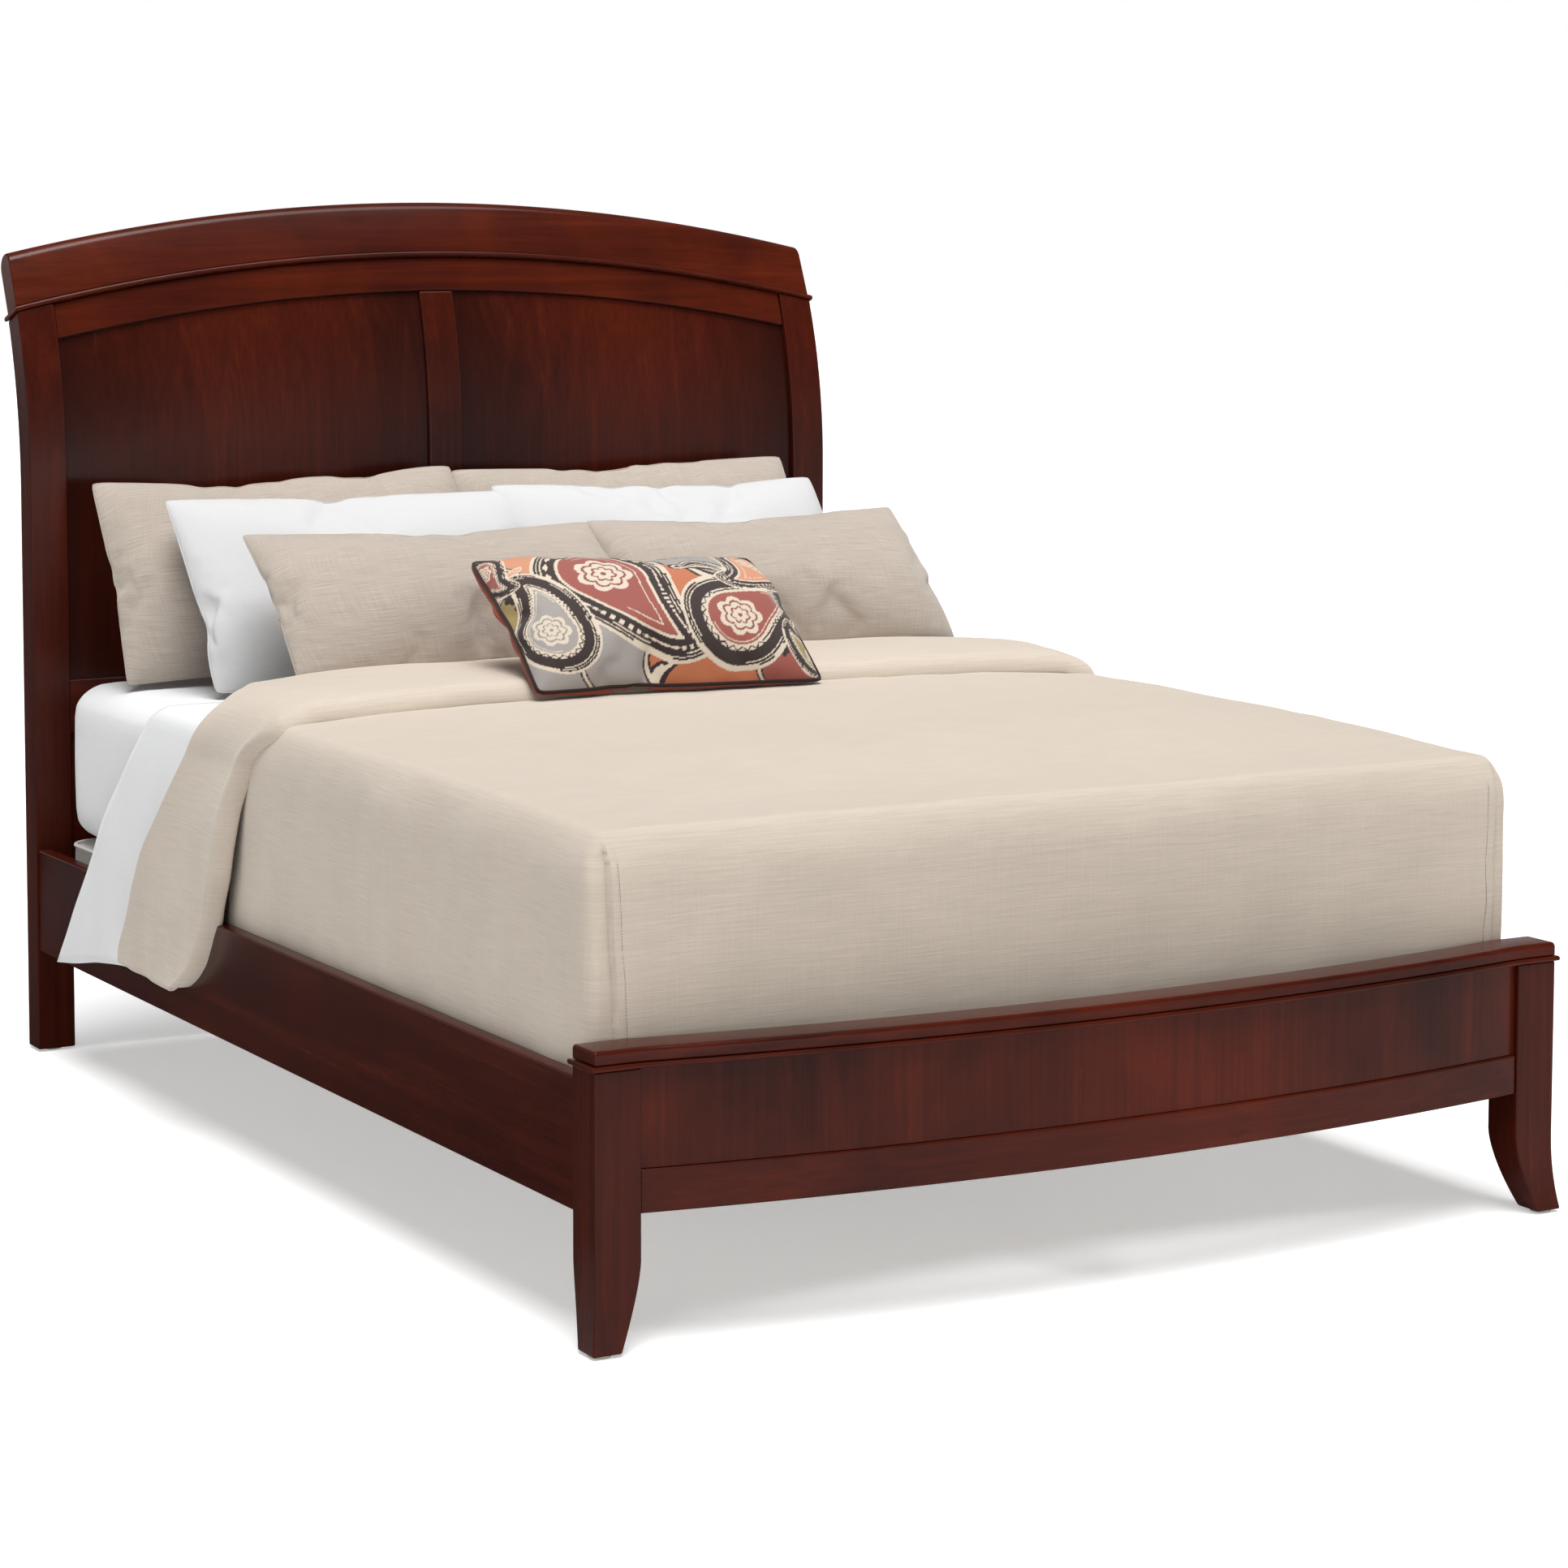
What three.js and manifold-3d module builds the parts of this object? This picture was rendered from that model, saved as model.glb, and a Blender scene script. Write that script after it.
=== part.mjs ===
// A queen-size sleigh bed with a low bowed footboard, dressed for use.
// Millimetres, +Z up. The foot of the bed faces -Y and its head +Y.
import * as THREE from 'three';
import { mergeVertices } from 'three/addons/utils/BufferGeometryUtils.js';
import Module from 'manifold-3d';

const wasm = await Module();
wasm.setup();

// Driving dimensions. Y is counted from the front face of the footboard posts.
const GAP = 0.3;
const ARCH_GAP = 0.7;
const HALF_WIDTH = 805;
const LENGTH = 2150;
const GLIDE = 4;
const GLIDE_RADIUS = 16;
const BEAD_LIP = 5;

// Headboard: posts that stand straight and then bend back along an arc.
const HEAD_POST = { width: 68, depth: 54 };
const BEND_START = 1000;
const BEND_RADIUS = 900;
const CAP_TOP_AT_ENDS = 1437;
const ARCH_RISE = 92;
// The bend starts higher in the middle, by this share of the arch.
const BEND_LIFT = 0.75;
const HEAD_CAP = { height: 111, front: 2, back: 52 };
const HEAD_BEAD_HEIGHT = 9;
const TOP_RAIL_HEIGHT = 66;
const HEAD_RAIL = { front: 4, back: 28 };
const HEAD_PANEL = { front: 11, back: 20 };
const STILE_WIDTH = 68;
const LOWER_RAIL = { bottom: 565, top: 660 };
const BOTTOM_RAIL = { bottom: 182, top: 250 };

// Footboard: sabre legs, and a front that bows towards the viewer between them.
const LEG = { width: 69, depth: 66, straightFrom: 122 };
const LEG_TOE = { outer: 10, front: 13, inner: 37, rear: 33, taperPower: 1.55, kickPower: 2.2 };
const BOW = 64;
const FOOT_RAIL = { bottom: 184, top: 243, front: 4, back: 28 };
const FOOT_PANEL = { front: 9, back: 20 };
const FOOT_BEAD = { bottom: 380, height: 7 };
const FOOT_CAP = { height: 20, round: 7 };

// Side rails and what hangs between them.
const SIDE_RAIL = { bottom: 182, top: 363, inset: 3, thick: 25 };
const LEDGER = { bottom: 204, size: 28, endClearance: 74 };
const SLAT = { thick: 18, width: 70, count: 8, firstY: 170, lastY: 2046, endClearance: 2 };
const BEAM = { width: 44, start: -28, end: 2144 };
const HANGER = { sheet: 3, length: 38, top: 224 };
const CENTRE_LEG = { size: 40, bottom: 12, stations: [720, 1430] };
const LEVELLER = { pad: 20, padHeight: 10, edge: 2, stem: 5, stemTop: 50, bore: 5.6, boreTop: 54 };
const PLATE = { sheet: 3, bottom: 240, height: 90, alongRail: 60, alongPost: 36 };

// Foundation, mattress and bedding.
const FOUNDATION = { halfWidth: 758, start: 88, end: 2114, top: 384, ease: 45 };
const MATTRESS = { halfWidth: 761, start: 85, end: 2117, top: 665, ease: 45 };
const DUVET = { halfWidth: 775.5, start: 72.5, end: 1330, bottom: 345, top: 692, ease: 57 };
const SHEET = { start: 1345, end: 1975, drop: 206, halfWidth: 805.6, thick: 2.2 };
const TURNDOWN = { start: 1150, end: 1640, drop: 235, halfWidth: 830, flap: 22, top: 720 };

const HALF_INSIDE_HEAD = HALF_WIDTH - HEAD_POST.width;
const HALF_INSIDE_FOOT = HALF_WIDTH - LEG.width;
const RAIL_OUTER = HALF_WIDTH - SIDE_RAIL.inset;
const RAIL_INNER = RAIL_OUTER - SIDE_RAIL.thick;
const SLAT_BOTTOM = LEDGER.bottom + LEDGER.size + GAP;
const SIDES = [['left', -1], ['right', 1]];
const ROUND_SIDES = 20;
const BORE_SIDES = 16;

const WOOD = new THREE.MeshStandardMaterial({ color: 0x4a1d14, roughness: 0.32, metalness: 0 });
const RAW_WOOD = new THREE.MeshStandardMaterial({ color: 0xb98f63, roughness: 0.7, metalness: 0 });
const STEEL = new THREE.MeshStandardMaterial({ color: 0x6c6e70, roughness: 0.4, metalness: 0.9 });
const NYLON = new THREE.MeshStandardMaterial({ color: 0xd9d4c8, roughness: 0.5, metalness: 0 });
const TICKING = new THREE.MeshStandardMaterial({ color: 0xd8d6d0, roughness: 0.9, metalness: 0 });
const COTTON = new THREE.MeshStandardMaterial({ color: 0xf0f0f1, roughness: 0.9, metalness: 0 });
const LINEN = new THREE.MeshStandardMaterial({ color: 0xc3b29c, roughness: 0.95, metalness: 0 });
const PRINT = new THREE.MeshStandardMaterial({ color: 0xa5573d, roughness: 0.9, metalness: 0 });

const bed = new THREE.Group();

function add(name, geometry, material) {
  const mesh = new THREE.Mesh(geometry, material);
  mesh.name = name;
  bed.add(mesh);
  return mesh;
}

// ---------- geometry helpers ----------

// Evenly spaced stations from one value to another.
function spread(from, to, steps) {
  return Array.from({ length: steps + 1 }, (_, i) => from + ((to - from) * i) / steps);
}

// A box divided at the given stations, with each corner put where place() says.
function stationBox(xs, ys, zs, place = (x, y, z) => [x, y, z]) {
  const cells = [xs.length - 1, ys.length - 1, zs.length - 1];
  const geometry = new THREE.BoxGeometry(1, 1, 1, ...cells);
  const position = geometry.attributes.position;
  const pick = (stations, at) => stations[Math.round((at + 0.5) * (stations.length - 1))];
  for (let i = 0; i < position.count; i += 1) {
    const x = pick(xs, position.getX(i));
    const y = pick(ys, position.getY(i));
    const z = pick(zs, position.getZ(i));
    position.setXYZ(i, ...place(x, y, z));
  }
  geometry.computeVertexNormals();
  return geometry;
}

function block(x0, x1, y0, y1, z0, z1) {
  return stationBox([x0, x1], [y0, y1], [z0, z1]);
}

// A section drawn in (a, b) and run along X, with each point put where place(x, a, b) says.
function runAlongX(section, x0, x1, place, curveSegments) {
  const depth = x1 - x0;
  const settings = { depth, steps: 24, curveSegments, bevelEnabled: false };
  const geometry = new THREE.ExtrudeGeometry(section, settings);
  const position = geometry.attributes.position;
  for (let i = 0; i < position.count; i += 1) {
    const [a, b, along] = [position.getX(i), position.getY(i), position.getZ(i)];
    position.setXYZ(i, ...place(x0 + along, a, b));
  }
  geometry.computeVertexNormals();
  return geometry;
}

function toManifold(geometry) {
  const plain = geometry.clone();
  plain.deleteAttribute('normal');
  plain.deleteAttribute('uv');
  const merged = mergeVertices(plain, 1e-4);
  return new wasm.Manifold(new wasm.Mesh({
    numProp: 3,
    vertProperties: new Float32Array(merged.attributes.position.array),
    triVerts: new Uint32Array(merged.index.array),
  }));
}

function cut(geometry, tool) {
  const mesh = toManifold(geometry).subtract(toManifold(tool)).getMesh();
  const result = new THREE.BufferGeometry();
  result.setAttribute('position', new THREE.BufferAttribute(mesh.vertProperties, 3));
  result.setIndex(new THREE.BufferAttribute(mesh.triVerts, 1));
  result.computeVertexNormals();
  return result;
}

// ---------- the two curved ends ----------

const archAt = (x) => ARCH_RISE * (1 - (x / HALF_WIDTH) ** 2);
const bendStartAt = (x) => BEND_START + BEND_LIFT * Math.max(0, archAt(x));

// A point of the headboard: x across, t back from its front face, s up along its face.
function onHeadboard(x, t, s) {
  const bendStart = bendStartAt(x);
  if (s <= bendStart) return [x, LENGTH + t, s];
  const angle = (s - bendStart) / BEND_RADIUS;
  const radius = BEND_RADIUS - t;
  return [x, LENGTH + BEND_RADIUS - radius * Math.cos(angle), bendStart + radius * Math.sin(angle)];
}

const capBottomAt = (x) => CAP_TOP_AT_ENDS - HEAD_CAP.height + archAt(x);
const beadBottomAt = (x) => capBottomAt(x) - HEAD_BEAD_HEIGHT;
const panelTopAt = (x) => beadBottomAt(x) - TOP_RAIL_HEIGHT;

// A slab of the headboard from a level bottom to a top that may follow the arch.
function headboardSlab(xs, front, back, bottom, topAt) {
  const place = (x, t, row) => {
    const bendStart = bendStartAt(x);
    const s = row <= 1
      ? bottom + (bendStart - bottom) * row
      : bendStart + (topAt(x) - bendStart) * (row - 1);
    return onHeadboard(x, t, s);
  };
  return stationBox(xs, [front, back], [0, ...spread(1, 2, 7)], place);
}

// How far the footboard's face stands in front of its posts.
const bowAt = (x) => BOW * Math.max(0, 1 - (x / HALF_INSIDE_FOOT) ** 2);

function footboardSlab(front, back, bottom, top) {
  const half = HALF_INSIDE_FOOT - GAP;
  const place = (x, y, z) => [x, y - bowAt(x), z];
  return stationBox(spread(-half, half, 20), [front, back], [bottom, top], place);
}

// ---------- headboard ----------

for (const [side, sign] of SIDES) {
  const inner = sign * HALF_INSIDE_HEAD;
  const outer = sign * HALF_WIDTH;
  const xs = spread(Math.min(inner, outer), Math.max(inner, outer), 2);
  const top = (x) => beadBottomAt(x) - ARCH_GAP;
  add(`headboard_post_${side}`, headboardSlab(xs, 0, HEAD_POST.depth, GLIDE + GAP, top), WOOD);
}

{
  const { front, back, height } = HEAD_CAP;
  const roll = (back - front) / 2;
  const section = new THREE.Shape();
  section.moveTo(front, ARCH_GAP);
  section.lineTo(back, ARCH_GAP);
  section.lineTo(back, height - roll);
  section.absarc(front + roll, height - roll, roll, 0, Math.PI, false);
  section.closePath();
  const place = (x, t, rise) => onHeadboard(x, t, capBottomAt(x) + rise);
  const geometry = runAlongX(section, -HALF_WIDTH, HALF_WIDTH, place, 8);
  add('headboard_cap', geometry, WOOD);
}

// A strip with a half-round front and back, for the two beads.
function beadSection(front, back, bottom, height) {
  const radius = height / 2;
  const section = new THREE.Shape();
  section.moveTo(front + radius, bottom);
  section.lineTo(back - radius, bottom);
  section.absarc(back - radius, bottom + radius, radius, -Math.PI / 2, Math.PI / 2, false);
  section.lineTo(front + radius, bottom + height);
  section.absarc(front + radius, bottom + radius, radius, Math.PI / 2, (Math.PI * 3) / 2, false);
  return section;
}

{
  const half = HALF_WIDTH + BEAD_LIP;
  const section = beadSection(-BEAD_LIP, HEAD_POST.depth + BEAD_LIP, 0, HEAD_BEAD_HEIGHT);
  const place = (x, t, rise) => onHeadboard(x, t, beadBottomAt(x) + rise);
  add('headboard_bead', runAlongX(section, -half, half, place, 4), WOOD);
}

{
  const half = HALF_INSIDE_HEAD - GAP;
  const place = (x, t, share) => {
    const bottom = panelTopAt(x) + ARCH_GAP;
    const top = beadBottomAt(x) - ARCH_GAP;
    return onHeadboard(x, t, bottom + (top - bottom) * share);
  };
  const depth = [HEAD_RAIL.front, HEAD_RAIL.back];
  add('headboard_top_rail', stationBox(spread(-half, half, 20), depth, [0, 0.5, 1], place), WOOD);
}

{
  const half = STILE_WIDTH / 2;
  const { front, back } = HEAD_RAIL;
  const stile = headboardSlab([-half, 0, half], front, back, LOWER_RAIL.top + GAP, panelTopAt);
  add('headboard_centre_stile', stile, WOOD);
  for (const [side, sign] of SIDES) {
    const ends = [sign * (half + GAP), sign * (HALF_INSIDE_HEAD - GAP)].sort((a, b) => a - b);
    const xs = spread(ends[0], ends[1], 10);
    const panel = headboardSlab(xs, HEAD_PANEL.front, HEAD_PANEL.back, LOWER_RAIL.top + GAP, panelTopAt);
    add(`headboard_panel_${side}`, panel, WOOD);
  }
}

{
  const half = HALF_INSIDE_HEAD - GAP;
  const crossPiece = (name, { front, back }, bottom, top) => {
    add(name, block(-half, half, LENGTH + front, LENGTH + back, bottom, top), WOOD);
  };
  crossPiece('headboard_lower_rail', HEAD_RAIL, LOWER_RAIL.bottom, LOWER_RAIL.top);
  crossPiece('headboard_lower_panel', HEAD_PANEL, BOTTOM_RAIL.top + GAP, LOWER_RAIL.bottom - GAP);
  crossPiece('headboard_bottom_rail', HEAD_RAIL, BOTTOM_RAIL.bottom, BOTTOM_RAIL.top);
}

// ---------- footboard ----------

for (const [side, sign] of SIDES) {
  // The leg is straight above and tapers into a toe that kicks out and forward.
  const place = (across, deep, z) => {
    const sweep = Math.max(0, (LEG.straightFrom - z) / LEG.straightFrom);
    const taper = sweep ** LEG_TOE.taperPower;
    const kick = sweep ** LEG_TOE.kickPower;
    const outer = HALF_WIDTH + LEG_TOE.outer * kick;
    const inner = HALF_INSIDE_FOOT + LEG_TOE.inner * taper;
    const front = -LEG_TOE.front * kick;
    const rear = LEG.depth - LEG_TOE.rear * taper;
    const x = inner + (outer - inner) * across;
    const y = front + (rear - front) * deep;
    return sign > 0 ? [x, y, z] : [-x, y, z];
  };
  const across = sign > 0 ? [0, 1] : [1, 0];
  const rows = [...spread(GLIDE + GAP, LEG.straightFrom, 6), FOOT_BEAD.bottom - GAP];
  add(`footboard_leg_${side}`, stationBox(across, [0, 1], rows, place), WOOD);
}

add('footboard_bottom_rail',
  footboardSlab(FOOT_RAIL.front, FOOT_RAIL.back, FOOT_RAIL.bottom, FOOT_RAIL.top), WOOD);
add('footboard_panel',
  footboardSlab(FOOT_PANEL.front, FOOT_PANEL.back, FOOT_RAIL.top + GAP, FOOT_BEAD.bottom - GAP), WOOD);

{
  const place = (x, y, z) => [x, y - bowAt(x), z];
  const half = HALF_WIDTH + BEAD_LIP;
  const bead = beadSection(-BEAD_LIP, LEG.depth + BEAD_LIP, FOOT_BEAD.bottom, FOOT_BEAD.height);
  add('footboard_bead', runAlongX(bead, -half, half, place, 4), WOOD);

  const { height, round } = FOOT_CAP;
  const bottom = FOOT_BEAD.bottom + FOOT_BEAD.height + GAP;
  const top = bottom + height;
  const cap = new THREE.Shape();
  cap.moveTo(0, bottom);
  cap.lineTo(LEG.depth, bottom);
  cap.lineTo(LEG.depth, top - round);
  cap.absarc(LEG.depth - round, top - round, round, 0, Math.PI / 2, false);
  cap.lineTo(round, top);
  cap.absarc(round, top - round, round, Math.PI / 2, Math.PI, false);
  cap.closePath();
  add('footboard_cap', runAlongX(cap, -HALF_WIDTH, HALF_WIDTH, place, 3), WOOD);
}

// ---------- side rails, ledgers and corner plates ----------

for (const [side, sign] of SIDES) {
  const xs = (a, b) => (sign > 0 ? [a, b] : [-b, -a]);
  const railStart = LEG.depth + GAP;
  const railEnd = LENGTH - GAP;
  const rail = block(...xs(RAIL_INNER, RAIL_OUTER), railStart, railEnd,
    SIDE_RAIL.bottom, SIDE_RAIL.top);
  add(`side_rail_${side}`, rail, WOOD);

  const ledgerTop = LEDGER.bottom + LEDGER.size;
  const ledgerInner = RAIL_INNER - GAP - LEDGER.size;
  const ledger = block(...xs(ledgerInner, RAIL_INNER - GAP), LEG.depth + LEDGER.endClearance,
    LENGTH - LEDGER.endClearance, LEDGER.bottom, ledgerTop);
  add(`slat_ledger_${side}`, ledger, RAW_WOOD);

  // An angle of steel joins each rail end to the face of its post.
  for (const [end, at, inward] of [['foot', railStart, 1], ['head', railEnd, -1]]) {
    const outline = new THREE.Shape();
    const corner = RAIL_INNER - GAP;
    const along = at + inward * PLATE.alongRail;
    const face = at + inward * PLATE.sheet;
    outline.moveTo(sign * corner, at);
    outline.lineTo(sign * corner, along);
    outline.lineTo(sign * (corner - PLATE.sheet), along);
    outline.lineTo(sign * (corner - PLATE.sheet), face);
    outline.lineTo(sign * (corner - PLATE.alongPost), face);
    outline.lineTo(sign * (corner - PLATE.alongPost), at);
    outline.closePath();
    const plate = new THREE.ExtrudeGeometry(outline, { depth: PLATE.height, bevelEnabled: false });
    add(`corner_plate_${end}_${side}`, plate.translate(0, 0, PLATE.bottom), STEEL);
  }
}

// ---------- slats, centre beam and its legs ----------

spread(SLAT.firstY, SLAT.lastY, SLAT.count - 1).forEach((y, i) => {
  const half = RAIL_INNER - SLAT.endClearance;
  const slat = block(-half, half, y - SLAT.width / 2, y + SLAT.width / 2,
    SLAT_BOTTOM, SLAT_BOTTOM + SLAT.thick);
  add(`slat_${i + 1}`, slat, RAW_WOOD);
});

const BEAM_TOP = SLAT_BOTTOM - GAP;
add('centre_beam', block(-BEAM.width / 2, BEAM.width / 2, BEAM.start, BEAM.end,
  SIDE_RAIL.bottom, BEAM_TOP), RAW_WOOD);

const HANGER_STARTS = [['foot', FOOT_RAIL.back - BOW + GAP], ['head', LENGTH + HEAD_RAIL.front - GAP]];
for (const [end, from] of HANGER_STARTS) {
  const inner = BEAM.width / 2 + GAP;
  const outer = inner + HANGER.sheet;
  const floor = SIDE_RAIL.bottom - GAP;
  const cradle = new THREE.Shape();
  cradle.moveTo(-outer, HANGER.top);
  cradle.lineTo(-outer, floor - HANGER.sheet);
  cradle.lineTo(outer, floor - HANGER.sheet);
  cradle.lineTo(outer, HANGER.top);
  cradle.lineTo(inner, HANGER.top);
  cradle.lineTo(inner, floor);
  cradle.lineTo(-inner, floor);
  cradle.lineTo(-inner, HANGER.top);
  cradle.closePath();
  const hanger = new THREE.ExtrudeGeometry(cradle, { depth: HANGER.length, bevelEnabled: false });
  const front = end === 'foot' ? from + HANGER.length : from;
  add(`beam_hanger_${end}`, hanger.rotateX(Math.PI / 2).translate(0, front, 0), STEEL);
}

CENTRE_LEG.stations.forEach((y, i) => {
  const half = CENTRE_LEG.size / 2;
  const post = block(-half, half, y - half, y + half, CENTRE_LEG.bottom, SIDE_RAIL.bottom - GAP);
  const boreFloor = CENTRE_LEG.bottom - 1;
  const boreHeight = LEVELLER.boreTop - boreFloor;
  const bore = new THREE.CylinderGeometry(LEVELLER.bore, LEVELLER.bore, boreHeight, BORE_SIDES);
  bore.rotateX(Math.PI / 2).translate(0, y, boreFloor + boreHeight / 2);
  add(`centre_leg_${i + 1}`, cut(post, bore), RAW_WOOD);

  const { pad, padHeight, edge, stem, stemTop } = LEVELLER;
  const profile = [[0, 0], [pad - edge, 0], [pad, edge], [pad, padHeight - edge],
    [pad - edge, padHeight], [stem, padHeight], [stem, stemTop], [0, stemTop]];
  const foot = new THREE.LatheGeometry(profile.map(([r, h]) => new THREE.Vector2(r, h)), BORE_SIDES);
  add(`levelling_foot_${i + 1}`, foot.rotateX(Math.PI / 2).translate(0, y, 0), STEEL);
});

// ---------- glides under the four corners ----------

for (const [side, sign] of SIDES) {
  const headX = sign * (HALF_WIDTH - HEAD_POST.width / 2);
  const toeX = sign * (HALF_WIDTH + (LEG_TOE.outer - LEG.width + LEG_TOE.inner) / 2);
  const toeY = (LEG.depth - LEG_TOE.rear - LEG_TOE.front) / 2;
  for (const [end, x, y] of [['head', headX, LENGTH + HEAD_POST.depth / 2], ['foot', toeX, toeY]]) {
    const glide = new THREE.CylinderGeometry(GLIDE_RADIUS, GLIDE_RADIUS, GLIDE, ROUND_SIDES);
    add(`floor_glide_${end}_${side}`, glide.rotateX(Math.PI / 2).translate(x, y, GLIDE / 2), NYLON);
  }
}

// ---------- foundation, mattress and bedding ----------

const FOUNDATION_BOTTOM = SLAT_BOTTOM + SLAT.thick + GAP;

// An upright block whose four corners are cut off by the given amount.
function easedBlock({ halfWidth, start, end }, ease, bottom, top, grow = 0) {
  const [x, y0, y1] = [halfWidth + grow, start - grow, end + grow];
  const corners = [[-x, y0 + ease], [-x + ease, y0], [x - ease, y0], [x, y0 + ease],
    [x, y1 - ease], [x - ease, y1], [-x + ease, y1], [-x, y1 - ease]];
  const outline = new THREE.Shape(corners.map(([a, b]) => new THREE.Vector2(a, b)));
  const geometry = new THREE.ExtrudeGeometry(outline, { depth: top - bottom, bevelEnabled: false });
  return geometry.translate(0, 0, bottom);
}

add('foundation',
  easedBlock(FOUNDATION, FOUNDATION.ease, FOUNDATION_BOTTOM, FOUNDATION.top), TICKING);
add('mattress', easedBlock(MATTRESS, MATTRESS.ease, FOUNDATION.top + GAP, MATTRESS.top), COTTON);

// The duvet lies on the mattress and is tucked in down both sides and the foot.
{
  const outer = easedBlock(DUVET, DUVET.ease, DUVET.bottom, DUVET.top);
  const inner = easedBlock(MATTRESS, MATTRESS.ease, DUVET.bottom - 1, MATTRESS.top + 1, 1);
  add('duvet', cut(outer, inner), LINEN);
}

// A cloth laid over the bed, with a flap down the outside of each rail.
function drapedCloth(halfWidth, flap, drop, top, under, start, end) {
  const outline = [[-halfWidth, drop], [-halfWidth, top], [halfWidth, top], [halfWidth, drop],
    [halfWidth - flap, drop], [halfWidth - flap, under], [flap - halfWidth, under],
    [flap - halfWidth, drop]];
  const section = new THREE.Shape(outline.map(([x, z]) => new THREE.Vector2(x, z)));
  const cloth = new THREE.ExtrudeGeometry(section, { depth: end - start, bevelEnabled: false });
  return cloth.rotateX(Math.PI / 2).translate(0, end, 0);
}

{
  const under = MATTRESS.top + 1;
  const cloth = drapedCloth(SHEET.halfWidth, SHEET.thick, SHEET.drop, under + SHEET.thick, under,
    SHEET.start, SHEET.end);
  add('top_sheet', cloth, COTTON);
}

add('duvet_turndown', drapedCloth(TURNDOWN.halfWidth, TURNDOWN.flap, TURNDOWN.drop, TURNDOWN.top,
  DUVET.top + 1, TURNDOWN.start, TURNDOWN.end), LINEN);

// Pillows lean back towards the headboard. base is the lower edge and top the upper edge,
// each as [y, z], of the plane through the middle of the pillow.
const PILLOWS = [
  { name: 'sham_back_left', x: -372, width: 690, base: [1912, 684], top: [2076, 1012], thick: 118 },
  { name: 'sham_back_right', x: 322, width: 690, base: [1912, 684], top: [2076, 1012], thick: 118 },
  { name: 'pillow_left', x: -315, width: 640, base: [1722, 684], top: [1944, 982], thick: 118 },
  { name: 'pillow_right', x: 332, width: 640, base: [1722, 684], top: [1944, 982], thick: 118 },
  { name: 'sham_front_left', x: -270, width: 630, base: [1474, 734], top: [1700, 940], thick: 112 },
  { name: 'sham_front_right', x: 366, width: 620, base: [1474, 734], top: [1700, 940], thick: 112 },
  { name: 'lumbar_pillow', x: -28, width: 520, base: [1232, 732], top: [1424, 908], thick: 84 },
];

// The thickness left along a pillow's edge, as a share of its middle.
const PILLOW_EDGE = 0.2;

for (const { name, x, width, base, top, thick } of PILLOWS) {
  const height = Math.hypot(top[0] - base[0], top[1] - base[1]);
  const lean = Math.atan2(top[0] - base[0], top[1] - base[1]);
  const swell = (u, v) => PILLOW_EDGE + (1 - PILLOW_EDGE) * (1 - u ** 4) * (1 - v ** 4);
  const place = (u, w, v) => [(u * width) / 2, (w * thick * swell(u, v)) / 2, (v * height) / 2];
  const grid = [-1, -0.85, -0.5, 0, 0.5, 0.85, 1];
  const material = { sham: LINEN, pillow: COTTON, lumbar: PRINT }[name.split('_')[0]];
  const pillow = add(name, stationBox(grid, [-1, 1], grid, place), material);
  pillow.rotation.x = -lean;
  pillow.position.set(x, (base[0] + top[0]) / 2, (base[1] + top[1]) / 2);
}

// The origin is under the middle of the whole bed, on the floor.
const bounds = new THREE.Box3().setFromObject(bed);
bed.position.y = -(bounds.min.y + bounds.max.y) / 2;

export default bed;
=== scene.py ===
"""A dressed sleigh bed, laid out as a Blender add-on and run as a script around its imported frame."""

import math

import bmesh
import bpy
import numpy as np
from bpy.props import FloatProperty, FloatVectorProperty, IntProperty, PointerProperty
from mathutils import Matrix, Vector, noise


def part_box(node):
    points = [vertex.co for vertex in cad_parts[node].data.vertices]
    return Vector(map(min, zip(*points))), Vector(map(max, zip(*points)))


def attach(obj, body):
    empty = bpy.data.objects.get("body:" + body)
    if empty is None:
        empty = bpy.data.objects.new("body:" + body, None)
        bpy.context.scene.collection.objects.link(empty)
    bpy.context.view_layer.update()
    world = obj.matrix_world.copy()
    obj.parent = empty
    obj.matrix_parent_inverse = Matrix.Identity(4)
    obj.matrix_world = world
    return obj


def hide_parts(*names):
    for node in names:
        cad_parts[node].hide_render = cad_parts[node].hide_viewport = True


bl_info = {
    "name": "Sleigh bed",
    "version": (1, 0, 0),
    "blender": (4, 5, 0),
    "location": "View3D > Sidebar > Sleigh bed",
    "description": "Builds a queen-size sleigh bed with its bedding around a packed frame",
    "category": "Object",
}

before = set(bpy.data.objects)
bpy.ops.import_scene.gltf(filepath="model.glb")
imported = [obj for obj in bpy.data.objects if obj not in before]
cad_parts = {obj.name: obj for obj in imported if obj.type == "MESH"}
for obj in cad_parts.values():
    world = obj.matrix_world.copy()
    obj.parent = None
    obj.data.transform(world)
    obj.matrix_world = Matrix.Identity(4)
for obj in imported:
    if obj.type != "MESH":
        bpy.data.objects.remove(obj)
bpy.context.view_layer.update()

# Places that every piece is counted from, in the row frame and in metres.
HEAD_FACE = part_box("headboard_post_left")[0].y
BED_LENGTH = 2.150
FOOT_FACE = HEAD_FACE - BED_LENGTH
HALF_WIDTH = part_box("headboard_cap")[1].x
MATTRESS_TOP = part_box("mattress")[1].z
SIDES = (("left", -1), ("right", 1))


# ---------- sizes and colours that a user would change ----------


def length(name, description, default):
    return FloatProperty(name=name, description=description, default=default, unit="LENGTH")


def colour(name, description, default):
    return FloatVectorProperty(
        name=name, description=description, default=default, subtype="COLOR", min=0, max=1
    )


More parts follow.
